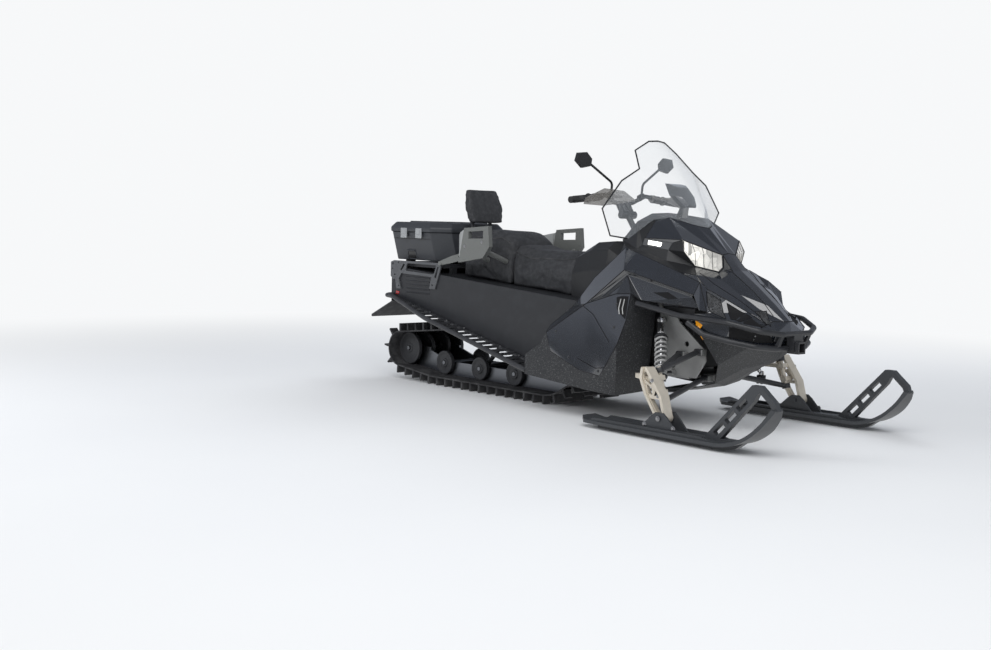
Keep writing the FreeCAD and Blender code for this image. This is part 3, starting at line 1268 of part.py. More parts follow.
def box_outline(z, grow):
    """The box's outline with cut front corners, at a height; grow sets it outward."""
    share = max(0.0, min(1.0, (z - box_low) / box_height))
    w = box_width / 2 - taper * (1 - share) + grow
    front = -1912 + grow
    rear = -2382 - grow
    cut = 90
    return [at(front, -w + cut, z), at(front, w - cut, z), at(front - cut, w, z), at(rear + 30, w, z),
            at(rear, w - 30, z), at(rear, -w + 30, z), at(rear + 30, -w, z), at(front - cut, -w, z)]


box_top = box_low + box_height
outside = ruled([box_outline(box_low, 0), box_outline(box_top, 0)])
inside = ruled([box_outline(box_low + box_wall, -box_wall), box_outline(box_top + 1, -box_wall)])
feet = [bar(at(x, y, (rack_top + fit_gap + box_low + 2) / 2), 50, 40, box_low + 2 - rack_top - fit_gap)
        for x in (-1990, -2310) for y in (-170, 170)]
keep("cargo_box", join([outside.cut(inside)] + feet))
lid_height = float(size("box_lid_height"))
lid_low = box_top + 0.4
lid_high = lid_low + lid_height


def lid_outline(z, grow):
    return [p + vec(0, 0, z - box_top) for p in box_outline(box_top, grow)]


lid = ruled([lid_outline(lid_low, 6), lid_outline(lid_low + 26, 8), lid_outline(lid_high, -16)])
lid_room = ruled([lid_outline(lid_low - 1, -2), lid_outline(lid_high - 8, -22)])
keep("cargo_lid", lid.cut(lid_room))

# Tail: bumper tube, lamp, hitch and snow flap
tail_points = [at(-2300, 312, 500), at(-2380, 292, 502), at(-2424, 240, 502), at(-2424, -240, 502),
               at(-2380, -292, 502), at(-2300, -312, 500)]
tail_tube = tube(tail_points, 13, 40).cut([tunnel, board, mirror(board)])
lamp = bar(at(-2358.3, 0, 626), 36, 320, 44)
keep("tail_lamp", lamp)
tongue_gap, tongue_plate = float(size("hitch_gap")), float(size("hitch_plate"))
hitch_z = 545
tongue = [bar(at(-2400, 0, hitch_z + s * (tongue_gap + tongue_plate) / 2), 110, 60, tongue_plate) for s in (-1, 1)]
tongue.append(bar(at(-2348.3, 0, hitch_z), 16, 200, 80))
hitch = join(tongue).cut(rod(at(-2432, 0, 500), at(-2432, 0, 600), size("hitch_pin_radius")))
keep("tail_bumper", join([tail_tube, hitch]))
flap = prism([at(rear_x - fit_gap, -250, 472), at(rear_x - fit_gap, -250, 498), at(rear_x - 10, -250, 498),
              at(rear_x - 16, -250, 482), at(-2588, -250, 372), at(-2590, -250, 360), at(-2584, -250, 356)],
             vec(0, 500, 0))
keep("snow_flap", flap)

doc.recompute()
os.makedirs("parts", exist_ok=True)
for thing in doc.Objects:
    if thing.TypeId == "Spreadsheet::Sheet" or not hasattr(thing, "Shape"):
        continue
    if "Invalid" in thing.State or "Error" in thing.State:
        raise RuntimeError(f"{thing.Label}: {thing.State}")
    if thing.getParentGeoFeatureGroup() is not None:
        continue
    if thing.Shape.isNull() or not thing.Shape.isValid() or not thing.Shape.Solids:
        raise RuntimeError(f"{thing.Label}: bad shape")
    thing.Shape.exportStep(f"parts/{thing.Label}.step")
    box = thing.Shape.BoundBox
    print(f"{thing.Label:24} {len(thing.Shape.Solids):3} solids  x {box.XMin:7.0f} {box.XMax:7.0f}"
          f"  y {box.YMin:6.0f} {box.YMax:6.0f}  z {box.ZMin:6.0f} {box.ZMax:6.0f}")
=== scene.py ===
# %% [markdown]
# # A two-seat utility snowmobile
# The construction is finished before this lesson starts: every rigid part comes in at its real size and place.
# Here each part gets its finish, and the things that only the eye needs are added: springs, fasteners, lamp
# insides, seams and soft seats. Lengths are in metres. +X is forward, +Y is the rider's left and +Z is up.

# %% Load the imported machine
import json
import math

import bmesh
import bpy
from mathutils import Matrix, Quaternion, Vector
from mathutils.bvhtree import BVHTree


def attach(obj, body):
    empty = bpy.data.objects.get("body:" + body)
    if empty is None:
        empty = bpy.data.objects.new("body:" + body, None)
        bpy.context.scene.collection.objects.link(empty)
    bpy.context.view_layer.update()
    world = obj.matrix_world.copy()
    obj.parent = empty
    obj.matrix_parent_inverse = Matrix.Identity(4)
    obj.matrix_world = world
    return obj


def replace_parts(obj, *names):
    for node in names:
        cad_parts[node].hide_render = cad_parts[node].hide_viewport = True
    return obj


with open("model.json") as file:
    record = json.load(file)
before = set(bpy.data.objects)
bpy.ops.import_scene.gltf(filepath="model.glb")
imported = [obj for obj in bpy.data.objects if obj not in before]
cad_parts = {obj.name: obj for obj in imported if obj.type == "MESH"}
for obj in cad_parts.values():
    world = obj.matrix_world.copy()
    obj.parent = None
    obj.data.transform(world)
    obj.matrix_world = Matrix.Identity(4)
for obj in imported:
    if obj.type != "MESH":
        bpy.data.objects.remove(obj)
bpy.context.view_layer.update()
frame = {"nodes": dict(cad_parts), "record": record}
PIVOT = 0.990  # how far ahead of the frame's origin the ski pivots lie

# %% [markdown]
# ## The photographer's place
# The camera stands low, ahead of the machine on its right, so that both skis point at the viewer. A long-ish
# lens keeps the nose from swelling. Its place was worked out once from the outline of skis, body and box.

# %% Camera
scene = bpy.context.scene


def stand(name, data):
    """A new object in the scene."""
    thing = bpy.data.objects.new(name, data)
    bpy.context.collection.objects.link(thing)
    return thing


AZIMUTH, ELEVATION, ROLL = (math.radians(a) for a in (47.434, 4.759, 1.485))
toward = Vector((math.sin(AZIMUTH) * math.cos(ELEVATION), -math.cos(AZIMUTH) * math.cos(ELEVATION),
                 math.sin(ELEVATION)))
eye = stand("Camera", bpy.data.cameras.new("Camera"))
eye.rotation_mode = "QUATERNION"
eye.location = (4.607, -4.908, 0.965)
eye.rotation_quaternion = toward.to_track_quat("Z", "Y") @ Quaternion((0, 0, 1), ROLL)
eye.data.lens = 45.61
eye.data.sensor_width = 36
scene.camera = eye
scene.view_settings.view_transform = "Standard"
print("camera at", tuple(eye.location))

# %% [markdown]
# ## Shader sums that read like sums
# A finish is a small calculation: noise times a strength plus a colour. Written node by node it is hard to
# read, so one class wraps an output of a node and lets Python's signs add the Math nodes. One method makes
# every other node. Colours are mixed by Mix nodes, because a Math node would turn them grey.

# %% The wrapped output
class Tap:
    """An output of a node, which the signs +, - and * can work on."""

    def __init__(self, paint, socket):
        self.paint, self.socket = paint, socket

    def sum(self, sign, first, second):
        return self.paint.node("Math", {"operation": sign}, {0: first, 1: second})

    def __add__(self, other):
        return self.sum("ADD", self, other)

    def __sub__(self, other):
        return self.sum("SUBTRACT", self, other)

    def __rsub__(self, other):
        return self.sum("SUBTRACT", other, self)

    def __mul__(self, other):
        return self.sum("MULTIPLY", self, other)

    __radd__, __rmul__ = __add__, __mul__

    def over(self, level, soft=0.05):
        """0 below a level and 1 above it, with a soft step."""
        return self.paint.node("MapRange", {"interpolation_type": "SMOOTHSTEP"},
                               {"Value": self, "From Min": level - soft, "From Max": level + soft})


# %% The paint pot
class Paint:
    """A material: its nodes, and the one surface shader at its end."""

    def __init__(self, name, **fixed):
        self.material = bpy.data.materials.new(name)
        self.material.use_nodes = True
        self.tree = self.material.node_tree
        self.shader = self.tree.nodes["Principled BSDF"]
        self.coat(**fixed)

    def put(self, socket, value):
        if isinstance(value, Tap):
            self.tree.links.new(value.socket, socket)
        elif isinstance(value, (tuple, list)) and len(value) == 3 and socket.type == "RGBA":
            socket.default_value = (*value, 1)
        else:
            socket.default_value = value

    def node(self, kind, settings=None, inputs=None, output=0):
        """Any node: its settings first, then the values and links of its sockets."""
        made = self.tree.nodes.new("ShaderNode" + kind)
        for name, value in (settings or {}).items():
            if name == "stops":
                ramp = made.color_ramp
                while len(ramp.elements) < len(value):
                    ramp.elements.new(1)
                for stop, (place, grey) in zip(ramp.elements, value):
                    stop.position, stop.color = place, (grey, grey, grey, 1)
            else:
                setattr(made, name, value)
        for name, value in (inputs or {}).items():
            self.put(made.inputs[name], value)
        return Tap(self, made.outputs[output])

    def place(self):
        return self.node("TexCoord", output="Object")

    def stretched(self, x, y, z):
        return self.node("Mapping", inputs={"Vector": self.place(), "Scale": (x, y, z)})

    def noise(self, scale, detail=2, rough=0.5, vector=None):
        return self.node("TexNoise", inputs={"Vector": vector or self.place(), "Scale": scale, "Detail": detail,
                                             "Roughness": rough})

    def cells(self, scale, feature="F1", vector=None, output=0):
        inputs = {"Vector": vector or self.place(), "Scale": scale}
        return self.node("TexVoronoi", {"feature": feature}, inputs, output)

    def mix(self, share, a, b, how="MIX"):
        return self.node("Mix", {"data_type": "RGBA", "blend_type": how}, {0: share, 6: a, 7: b}, output=2)

    def height(self, value, depth, strength, under=None):
        inputs = {"Height": value, "Distance": depth, "Strength": strength}
        if under:
            inputs["Normal"] = under
        return self.node("Bump", inputs=inputs)

    def rays(self, *kinds):
        """For each kind of ray, an output that is 1 while such a ray looks."""
        return [self.node("LightPath", output=f"Is {kind} Ray") for kind in kinds]

    def coat(self, **sockets):
        for socket, value in sockets.items():
            self.put(self.shader.inputs[socket.replace("_", " ")], value)
        return self.material

    def skin(self, colour, rough, *relief, **more):
        """What most finishes end with: colour, roughness, and a relief with its depth and strength."""
        return self.coat(Base_Color=colour, Roughness=rough, Normal=self.height(*relief), **more)


print("paint helpers ready")

# %% [markdown]
# ## Floor, background and light
# A black glossy body is seen by what it mirrors. The studio is therefore a pale floor and a pale sky with a
# darker band near the horizon, which draws soft lines across the panels, and three wide lamps. White is what
# the camera sees, straight or through the screen; the object itself is lit by the lamps and a grey sky.

# %% Floor
WHITE = (0.93, 0.94, 0.95)
floor_mesh = bpy.data.meshes.new("floor")
floor_mesh.from_pydata([(-60, -60, 0), (60, -60, 0), (60, 60, 0), (-60, 60, 0)], [], [(0, 1, 2, 3)])
floor = stand("floor", floor_mesh)
floor.location.z = -0.0005
pale = Paint("floor_pale", Roughness=0.75)
drift = pale.noise(0.6, 3)
pale.coat(Base_Color=pale.mix(drift, (0.72, 0.73, 0.75), (0.77, 0.78, 0.79)))
# From 2.1 to 6.5 m off, the floor fades into the background in the view only. Mirrored, it is nearly white.
far = pale.node("VectorMath", {"operation": "LENGTH"}, {0: pale.place()}, output=1).over(4.3, 2.2)
seen, mirrored = pale.rays("Camera", "Glossy")
blend = pale.node("MixShader", inputs={0: far * seen + mirrored * 0.85, 1: Tap(pale, pale.shader.outputs[0]),
                                       2: pale.node("Emission", inputs={"Color": WHITE})})
pale.put(pale.tree.nodes["Material Output"].inputs["Surface"], blend)
floor_mesh.materials.append(pale.material)

# %% Sky
sky = bpy.data.worlds.new("sky")
scene.world = sky
sky.use_nodes = True


class Air(Paint):
    """The same node helpers, working on the world's tree."""

    def __init__(self, tree):
        self.tree = tree


air = Air(sky.node_tree)
seen, mirrored, through = air.rays("Camera", "Glossy", "Transmission")
split = air.node("SeparateXYZ", inputs={0: air.node("TexCoord", output="Generated")}, output="Z")
# How bright the sky is by height: straight down is 0, the horizon 0.5 and straight up 1.
BAND = [(0.0, 0.55), (0.497, 0.50), (0.503, 0.06), (0.516, 0.10), (0.534, 0.46), (0.63, 0.42), (0.77, 0.21),
        (1.0, 0.17)]
band = air.node("ValToRGB", {"stops": BAND}, {0: split * 0.5 + 0.5})
shown = air.mix(mirrored, (0.46, 0.475, 0.495), air.mix(1.0, band, (0.90, 0.96, 1.10), "MULTIPLY"))
for white_ray in (seen, through):
    shown = air.mix(white_ray, shown, WHITE)
air.put(air.tree.nodes["Background"].inputs["Color"], shown)

# %% Lamps
def softbox(name, place, aim, size, power, tint=(1, 1, 1)):
    lamp = bpy.data.lights.new(name, "AREA")
    lamp.shape, (lamp.size, lamp.size_y) = "RECTANGLE", size
    lamp.energy, lamp.color = power, tint
    panel = stand(name, lamp)
    panel.location = place
    panel.rotation_mode = "QUATERNION"
    panel.rotation_quaternion = (Vector(place) - Vector(aim)).to_track_quat("Z", "Y")
    return panel


softbox("key", (3.5, -3.5, 5.0), (0.2, 0, 0.5), (6, 5), 270)
softbox("side", (-3.0, -5.0, 2.6), (-0.4, 0, 0.5), (3, 2), 120).visible_glossy = False
softbox("rim", (-2.5, 4.5, 4.0), (0, 0, 0.6), (4, 2), 150, (0.95, 0.97, 1.0)).visible_glossy = False
print("floor, sky and three lamps")

# %% [markdown]
# ## Finishes
# Each finish is one function, named for what it is on the machine. All patterns run in the object's own space
# at real scale: grain under a millimetre, orange peel in lacquer, cast skin, brushed streaks.

# %% Moulded, lacquered and coated plastics
def shade(colour, times, plus=0.0):
    """The same colour, darker or paler."""
    return tuple(c * times + plus for c in colour)


def moulded(name, colour, rough, grain, depth, shine=0.0, worn=0.25):
    """Plastic with a fine grain, slightly paler and duller where it is handled."""
    paint = Paint(name, IOR=1.46)
    skin = paint.cells(grain, "SMOOTH_F1") + paint.noise(grain * 0.5, 3)
    dust = paint.noise(7, 4, 0.6)
    return paint.skin(paint.mix(dust * worn * 2, colour, shade(colour, 1, 0.05 * worn)), rough - 0.08 + dust * 0.16,
                      skin, depth, 0.6, Coat_Weight=shine)


def lacquer(name, colour, flake=0.0):
    """Deep gloss: a dark base under a clear coat with a faint orange peel."""
    paint = Paint(name, IOR=1.6, Coat_Weight=1.0, Coat_IOR=1.8, Coat_Roughness=0.03)
    peel = paint.noise(260, 1)
    flakes = paint.cells(2600).over(0.80, 0.1) * flake
    smear = paint.noise(5, 5, 0.65)
    base = paint.mix(smear, shade(colour, 0.7), colour)
    return paint.skin(paint.mix(flakes, base, (0.10, 0.12, 0.16)), 0.12 + smear * 0.14, peel, 0.00003, 0.08)


def speckled(name, colour, dots):
    """Coarse moulded grain with paler points, like the underside panels."""
    paint = Paint(name, IOR=1.46)
    grain = paint.noise(170, 4, 0.7)
    cloud = paint.noise(9, 4, 0.6)
    share = grain.over(0.60, 0.05) * (cloud * 0.75 + 0.25)
    return paint.skin(paint.mix(share, colour, dots), cloud * 0.14 + 0.50, grain, 0.0005, 0.6)


def powder(name, colour, rough=0.45, metal=0.0):
    """Powder-coated steel or sheet: a pebbled satin skin, duller in patches."""
    paint = Paint(name, Metallic=metal)
    pebble = paint.noise(900, 2, 0.6)
    patch = paint.noise(14, 3)
    return paint.skin(paint.mix(patch.over(0.56, 0.12), colour, shade(colour, 1.12, 0.003)),
                      rough - 0.06 + patch * 0.16, pebble, 0.00012, 0.6)


def cast(name, colour, rough=0.42, metal=0.55):
    """Sand-cast alloy under thin paint."""
    paint = Paint(name)
    skin = paint.noise(520, 4, 0.7)
    stain = paint.noise(24, 4, 0.6)
    return paint.skin(paint.mix(stain, shade(colour, 0.72), colour), rough + stain * 0.14, skin, 0.0003, 0.5,
                      Metallic=metal)


def drawn(name, colour, along=(1, 1, 60), rough=0.26):
    """Drawn or turned alloy with fine streaks."""
    paint = Paint(name, Metallic=1.0)
    streak = paint.noise(60, 4, 0.6, paint.stretched(*along))
    return paint.skin(paint.mix(streak, shade(colour, 0.75), colour), rough + streak * 0.12, streak, 0.00008, 0.5)


def rubber(name, colour, grain=700, rough=0.78):
    """Vulcanised rubber with a dusty bloom."""
    paint = Paint(name)
    skin = paint.noise(grain, 3, 0.65)
    bloom = paint.noise(18, 4, 0.6)
    return paint.skin(paint.mix(bloom.over(0.52, 0.14), colour, shade(colour, 1, 0.035)), rough + bloom * 0.12,
                      skin, 0.0002, 0.6)


def vinyl(name, colour):
    """Seat cover: pebbled leather grain with fine creases."""
    paint = Paint(name, IOR=1.45)
    pebble = paint.cells(420, "DISTANCE_TO_EDGE")
    crease = paint.noise(46, 5, 0.7)
    first = paint.height(pebble.over(0.09, 0.09), 0.0005, 0.5)
    return paint.skin(paint.mix(crease.over(0.55, 0.2), colour, shade(colour, 1.5, 0.012)), 0.50 + crease * 0.18,
                      crease, 0.0012, 0.35, first)


# %% Glass, lenses and lit surfaces
def clear(name, tint, face, edge, rough=0.03):
    """Clear sheet: nearly absent face-on, its tint more opaque at a glancing look; on the pale screen that is a
    painted reflection.
    """
    paint = Paint(name, IOR=1.5, Base_Color=tint, Specular_IOR_Level=0.6)
    glance = paint.node("LayerWeight", inputs={"Blend": 0.35}, output="Facing")
    haze = paint.noise(9, 4, 0.6)
    return paint.coat(Alpha=face + glance * glance * (edge - face) + haze * 0.03, Roughness=rough + haze * 0.03)


def lit(name, colour, glow, strength):
    """A lens with its reflector facets, lit from behind."""
    paint = Paint(name, IOR=1.5, Coat_Weight=1.0, Coat_Roughness=0.02, Roughness=0.18, Emission_Strength=strength)
    tall = paint.stretched(1, 1, 0.6)
    tone = paint.node("SeparateColor", inputs={0: paint.cells(30, vector=tall, output="Color")})
    facet, line = paint.cells(30, vector=tall), paint.cells(30, "DISTANCE_TO_EDGE", tall)
    flute = paint.cells(140, "SMOOTH_F1")
    bright = (tone * 1.1 + (1 - facet) * 0.3 + flute * 0.2 - 0.15) * (line.over(0.02, 0.02) * 0.5 + 0.5)
    return paint.coat(Base_Color=paint.mix(bright, shade(colour, 0.30), colour),
                      Emission_Color=paint.mix(bright, shade(glow, 0.16), glow),
                      Normal=paint.height(facet + flute * 0.2, 0.004, 0.7))


def lens(name, colour, glow, strength):
    """A moulded reflector: small prisms under a glossy face, with a painted glow, since a reflector gives no light of
    its own.
    """
    paint = Paint(name, IOR=1.5, Coat_Weight=1.0, Coat_Roughness=0.03, Roughness=0.25, Emission_Strength=strength)
    prisms = paint.cells(420, "DISTANCE_TO_EDGE")
    bright = prisms.over(0.16, 0.16)
    return paint.coat(Base_Color=paint.mix(bright, shade(colour, 0.6), colour), Emission_Color=glow,
                      Normal=paint.height(prisms, 0.001, 0.5))


def mesh_sheet(name):
    """Stamped mesh: grey wires with painted shade in the holes between them, in rows three millimetres and a half
    apart.
    """
    paint = Paint(name)
    tilted = paint.node("Mapping", inputs={"Vector": paint.place(), "Rotation": (0.4, 0.7, 0.2)})
    holes = paint.cells(210, vector=tilted)
    wire = holes.over(0.40, 0.06)
    # the holes' near-black colour is painted shade
    return paint.skin(paint.mix(wire, (0.003, 0.003, 0.004), (0.045, 0.047, 0.050)), 0.55 + (1 - wire) * 0.3,
                      wire, 0.0012, 0.8)


def display(name):
    """A lit instrument face: pale panels on a dark ground, with no lettering."""
    paint = Paint(name, Roughness=0.12, Coat_Weight=1.0, Coat_Roughness=0.02, Emission_Strength=1.2)
    parts = paint.node("SeparateXYZ", inputs={0: paint.place()}, output="Y")
    bars = paint.node("Math", {"operation": "PINGPONG"}, {0: parts + 0.001, 1: 0.014}).over(0.0115, 0.0006)
    return paint.coat(Base_Color=(0.010, 0.012, 0.016),
                      Emission_Color=paint.mix(bars, (0.02, 0.04, 0.07), (0.45, 0.62, 0.75)))


# %% The table of finishes
FINISH = {name: maker(name, *values) for name, maker, *values in (
    ("track_rubber", rubber, (0.022, 0.022, 0.024)),
    ("skid_alloy", drawn, (0.26, 0.27, 0.29), (60, 1, 1), 0.34),
    ("wheel_black", moulded, (0.030, 0.031, 0.034), 0.5, 900, 0.0001),
    ("dark_steel", powder, (0.028, 0.029, 0.032)),
    ("tunnel_dark", powder, (0.017, 0.018, 0.021), 0.42),
    ("board_dark", powder, (0.030, 0.031, 0.035), 0.5),
    ("ski_plastic", moulded, (0.040, 0.043, 0.048), 0.46, 600, 0.00015),
    ("champagne_cast", cast, (0.74, 0.68, 0.58), 0.40, 0.35),
    ("shock_alloy", drawn, (0.66, 0.66, 0.67), (1, 1, 40), 0.22),
    ("frame_grey", cast, (0.36, 0.36, 0.355), 0.45, 0.3),
    ("body_gloss", lacquer, (0.010, 0.012, 0.017), 0.35),
    ("body_matt", moulded, (0.013, 0.0135, 0.015), 0.46, 800, 0.0001),
    ("belly_matt", speckled, (0.022, 0.023, 0.025), (0.17, 0.175, 0.18)),
    ("lamp_clear", lit, (0.85, 0.84, 0.80), (1.0, 0.94, 0.83), 0.42),
    ("lamp_white", moulded, (0.07, 0.072, 0.075), 0.30, 700, 0.00006, 0.5),
    ("lamp_red", lit, (0.40, 0.010, 0.012), (0.9, 0.02, 0.02), 0.15),
    # the screen's pale tint, shown at a glancing look, is a painted reflection
    ("screen_clear", clear, (0.62, 0.66, 0.70), 0.07, 0.46),
    ("display_black", lacquer, (0.010, 0.010, 0.011)),
    ("seat_vinyl", vinyl, (0.026, 0.027, 0.030)),
    ("guard_grey", moulded, (0.13, 0.135, 0.13), 0.52, 700, 0.00015),
    ("engine_grey", cast, (0.10, 0.10, 0.105), 0.5, 0.6),
    ("bumper_black", powder, (0.022, 0.023, 0.026), 0.38),
    ("grip_rubber", rubber, (0.020, 0.020, 0.021), 500),
    ("guard_smoke", clear, (0.20, 0.19, 0.175), 0.62, 0.90, 0.14),
    ("box_charcoal", moulded, (0.034, 0.037, 0.043), 0.42, 520, 0.0002),
    ("flap_rubber", rubber, (0.026, 0.026, 0.028), 300),
    ("recess_gloss", lacquer, (0.016, 0.018, 0.022), 0.2),
    # the guard plastic painted paler for the guards' rear facet: painted light
    ("guard_light", moulded, (0.30, 0.31, 0.31), 0.45, 700, 0.00012),
    # dark joints between panels, and painted shade in openings, recesses and hood creases
    ("gap_black", moulded, (0.004, 0.004, 0.005), 0.8, 900, 0.00004, 0.0, 0.0),
    ("rack_grey", powder, (0.075, 0.078, 0.084), 0.4),
    ("latch_grey", moulded, (0.30, 0.31, 0.32), 0.35, 700, 0.0001),
    ("damper_alloy", drawn, (0.72, 0.72, 0.73), (1, 1, 30), 0.16),
    ("spring_grey", powder, (0.40, 0.40, 0.395), 0.32),
    ("trim_black", moulded, (0.008, 0.008, 0.009), 0.32, 900, 0.00004, 0.3, 0.0),
    ("lens_rib", moulded, (0.10, 0.10, 0.095), 0.2, 900, 0.00004, 0.6, 0.0),
    ("lamp_glow", lit, (0.95, 0.94, 0.91), (1.0, 0.97, 0.90), 5.0),
    # the amber reflectors' glow is painted light: they are no lamps
    ("amber", lens, (0.90, 0.36, 0.01), (1.0, 0.40, 0.01), 0.35),
    ("mesh_black", mesh_sheet),
    ("screen_lit", display),
    ("lever_alloy", powder, (0.045, 0.046, 0.050), 0.34, 0.2),
    ("mirror_silver", drawn, (0.80, 0.82, 0.84), (1, 1, 1), 0.02),
    ("piping_black", rubber, (0.030, 0.030, 0.032), 900, 0.6),
    ("bolt_zinc", drawn, (0.42, 0.42, 0.43), (20, 20, 20), 0.32),
)}
# The last of them are finer than the record's slots.
print("finishes", len(FINISH))

# %% [markdown]
# ## Softened edges
# Moulded panels have no razor edges: every corner is rounded by a few millimetres, and that is where the light
# draws its lines. The parts themselves are not changed. A stack of modifiers welds the mesh, melts the
# triangles back into whole faces, rounds the edges, and evens the shading.

# %% Rounding by modifiers
SAME_PLACE, SAME_FACE = 0.00002, math.radians(0.6)  # nearer points are one point, flatter folds are one face
ROUNDED = {part: (width, fold) for width, fold, parts in (
    # radius of the edges in mm, the least fold that counts as an edge in degrees, parts
    (5, 7, "hood"), (5, 8, "side_panels side_bands nose cowl"), (5, 10, "footwells nose_belly"),
    (4, 10, "side_recesses console"), (4, 30, "tail_lamp"), (2, 30, "headlights"), (1.5, 30, "marker_lamps tunnel"),
    (1, 35, "subframe"), (1, 40, "windshield handguards running_boards"), (3, 25, "display_pod snow_flap"),
    (12, 14, "fuel_tank"), (7, 16, "cargo_lid"), (7, 20, "cargo_box"), (7, 30, "passenger_guards"),
    (3, 30, "ski_right ski_left"), (2.5, 30, "rear_rack spindle_right spindle_left"), (1.2, 40, "track"),
    (10, 30, "engine_block"), (1.5, 35, "skid_rails"), (1.5, 45, "front_bumper tail_bumper"), (2.5, 45, "grips"),
    (3, 45, "mirrors"), (9, 25, "backrest")) for part in parts.split()}


def modify(thing, kind, **settings):
    """One more modifier on the stack of an object."""
    modifier = thing.modifiers.new(kind.lower(), kind)
    for name, value in settings.items():
        setattr(modifier, name, value)
    return modifier


for part, thing in frame["nodes"].items():
    width, fold = ROUNDED.get(part, (0, 0))
    modify(thing, "WELD", merge_threshold=SAME_PLACE)
    if width:
        modify(thing, "DECIMATE", decimate_type="DISSOLVE", angle_limit=SAME_FACE)
        modify(thing, "BEVEL", width=width / 1000, segments=3 if width >= 2 else 2, limit_method="ANGLE",
               angle_limit=math.radians(fold), use_clamp_overlap=True, miter_outer="MITER_ARC")
    modify(thing, "WEIGHTED_NORMAL", keep_sharp=False, weight=80)
print("rounded parts", len(ROUNDED))

# %% Give every part its finish
slot_of = {row["node"]: row["material_slot"] for row in frame["record"]["subparts"]}
for part, thing in frame["nodes"].items():
    thing.data.materials.clear()
    thing.data.materials.append(FINISH["recess_gloss" if part == "side_recesses" else slot_of[part]])
print("painted", len(slot_of))

# %% [markdown]
# ## Tools for small pieces
# Springs, bolts, trims and lamp parts are all built the same way: rings of points joined into a skin. One class
# collects them in a bmesh, mirrors them to the other side of the machine, and hands over a finished object.
# A second class is the outside of some parts: thin pieces are laid on it by a ray, so that they sit where the
# real ones are glued or screwed on.

# %% A piece in the making
def spot(x, y, z):
    """A place in metres from millimetres measured off the ski pivots."""
    return Vector((PIVOT + x / 1000, y / 1000, z / 1000))


def spots(*places):
    return [spot(*place) for place in places]


AHEAD, LEFT, UP = Vector((1, 0, 0)), Vector((0, 1, 0)), Vector((0, 0, 1))
RIGHT = -LEFT


def angles(sides):
    return [2 * math.pi * k / sides for k in range(sides)]


class Form:
    """A mesh that grows ring by ring."""

    def __init__(self, name):
        self.name, self.bm = name, bmesh.new()

    def skin(self, rings, closed=True, capped=True):
        rows = [[self.bm.verts.new(place) for place in ring] for ring in rings]
        for a, b in zip(rows, rows[1:]):
            count = len(a)
            for i in range(count if closed else count - 1):
                j = (i + 1) % count
                self.bm.faces.new((a[i], a[j], b[j], b[i]))
        if capped:
            self.bm.faces.new(rows[0][::-1])
            self.bm.faces.new(rows[-1])
        return self

    def turned(self, start, way, profile, sides=20):
        """A turned shape: distances along a line and radii, in millimetres."""
        way = way.normalized()
        u = way.orthogonal().normalized()
        v = way.cross(u)
        return self.skin([[start + way * (d / 1000) + (u * math.cos(t) + v * math.sin(t)) * (r / 1000)
                           for t in angles(sides)] for d, r in profile])

    def slab(self, corners, depth):
        return self.skin([corners, [place + depth for place in corners]])

    def pipe(self, points, radius, sides=8, closed=False):
        """A round section drawn along a line of points."""
        count, rings = len(points), []
        side = (points[1] - points[0]).orthogonal()
        for i, place in enumerate(points):
            before = points[i - 1] if i or closed else place
            after = points[(i + 1) % count] if i < count - 1 or closed else place
            way = (after - before).normalized()
            side = (side - way * side.dot(way)).normalized()
            over = way.cross(side)
            rings.append([place + (side * math.cos(t) + over * math.sin(t)) * (radius / 1000) for t in angles(sides)])
        if closed:
            rings.append(rings[0])
        return self.skin(rings, capped=not closed)

    def trace(self, outside, points, way, radius, sides=6, closed=False, **laying):
        """A round section drawn along a line that is laid on a surface."""
        return self.pipe(outside.line(points, way, closed, **laying), radius, sides, closed)

    def bolt(self, place, way, radius=6.0):
        """A washer and a hexagon head with its corners turned down."""
        self.turned(place, way, [(-0.5, radius * 1.5), (0.8, radius * 1.5), (1.2, radius * 1.3)], 16)
        return self.turned(place, way, [(1.0, radius), (1 + radius * 0.5, radius),
                                        (1 + radius * 0.7, radius * 0.75)], 6)

    def both(self):
        """The same again on the other side of the machine."""
        copy = bmesh.ops.duplicate(self.bm, geom=self.bm.verts[:] + self.bm.edges[:] + self.bm.faces[:])["geom"]
        for item in copy:
            if isinstance(item, bmesh.types.BMVert):
                item.co.y = -item.co.y
        return self

    def done(self, finish, body="chassis", edge=0.0, fold=35):
        """The finished object, riding on its body."""
        bmesh.ops.recalc_face_normals(self.bm, faces=self.bm.faces[:])
        mesh = bpy.data.meshes.new(self.name)
        self.bm.to_mesh(mesh)
        self.bm.free()
        piece = stand(self.name, mesh)
        mesh.materials.append(FINISH[finish])
        mesh.shade_smooth()
        if edge:
            modify(piece, "BEVEL", width=edge / 1000, segments=2, limit_method="ANGLE",
                   angle_limit=math.radians(fold))
            modify(piece, "WEIGHTED_NORMAL", weight=80)
        else:
            mesh.set_sharp_from_angle(angle=math.radians(fold))
        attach(piece, body)
        made.append(piece)
        return piece


made = []

# %% Laying thin pieces on the panels
STEP = 12.0  # millimetres between the points of what is laid on
REACH, BED = 0.20, 0.0008  # metres: how far out a ray starts, how deep a sheet's underside lies


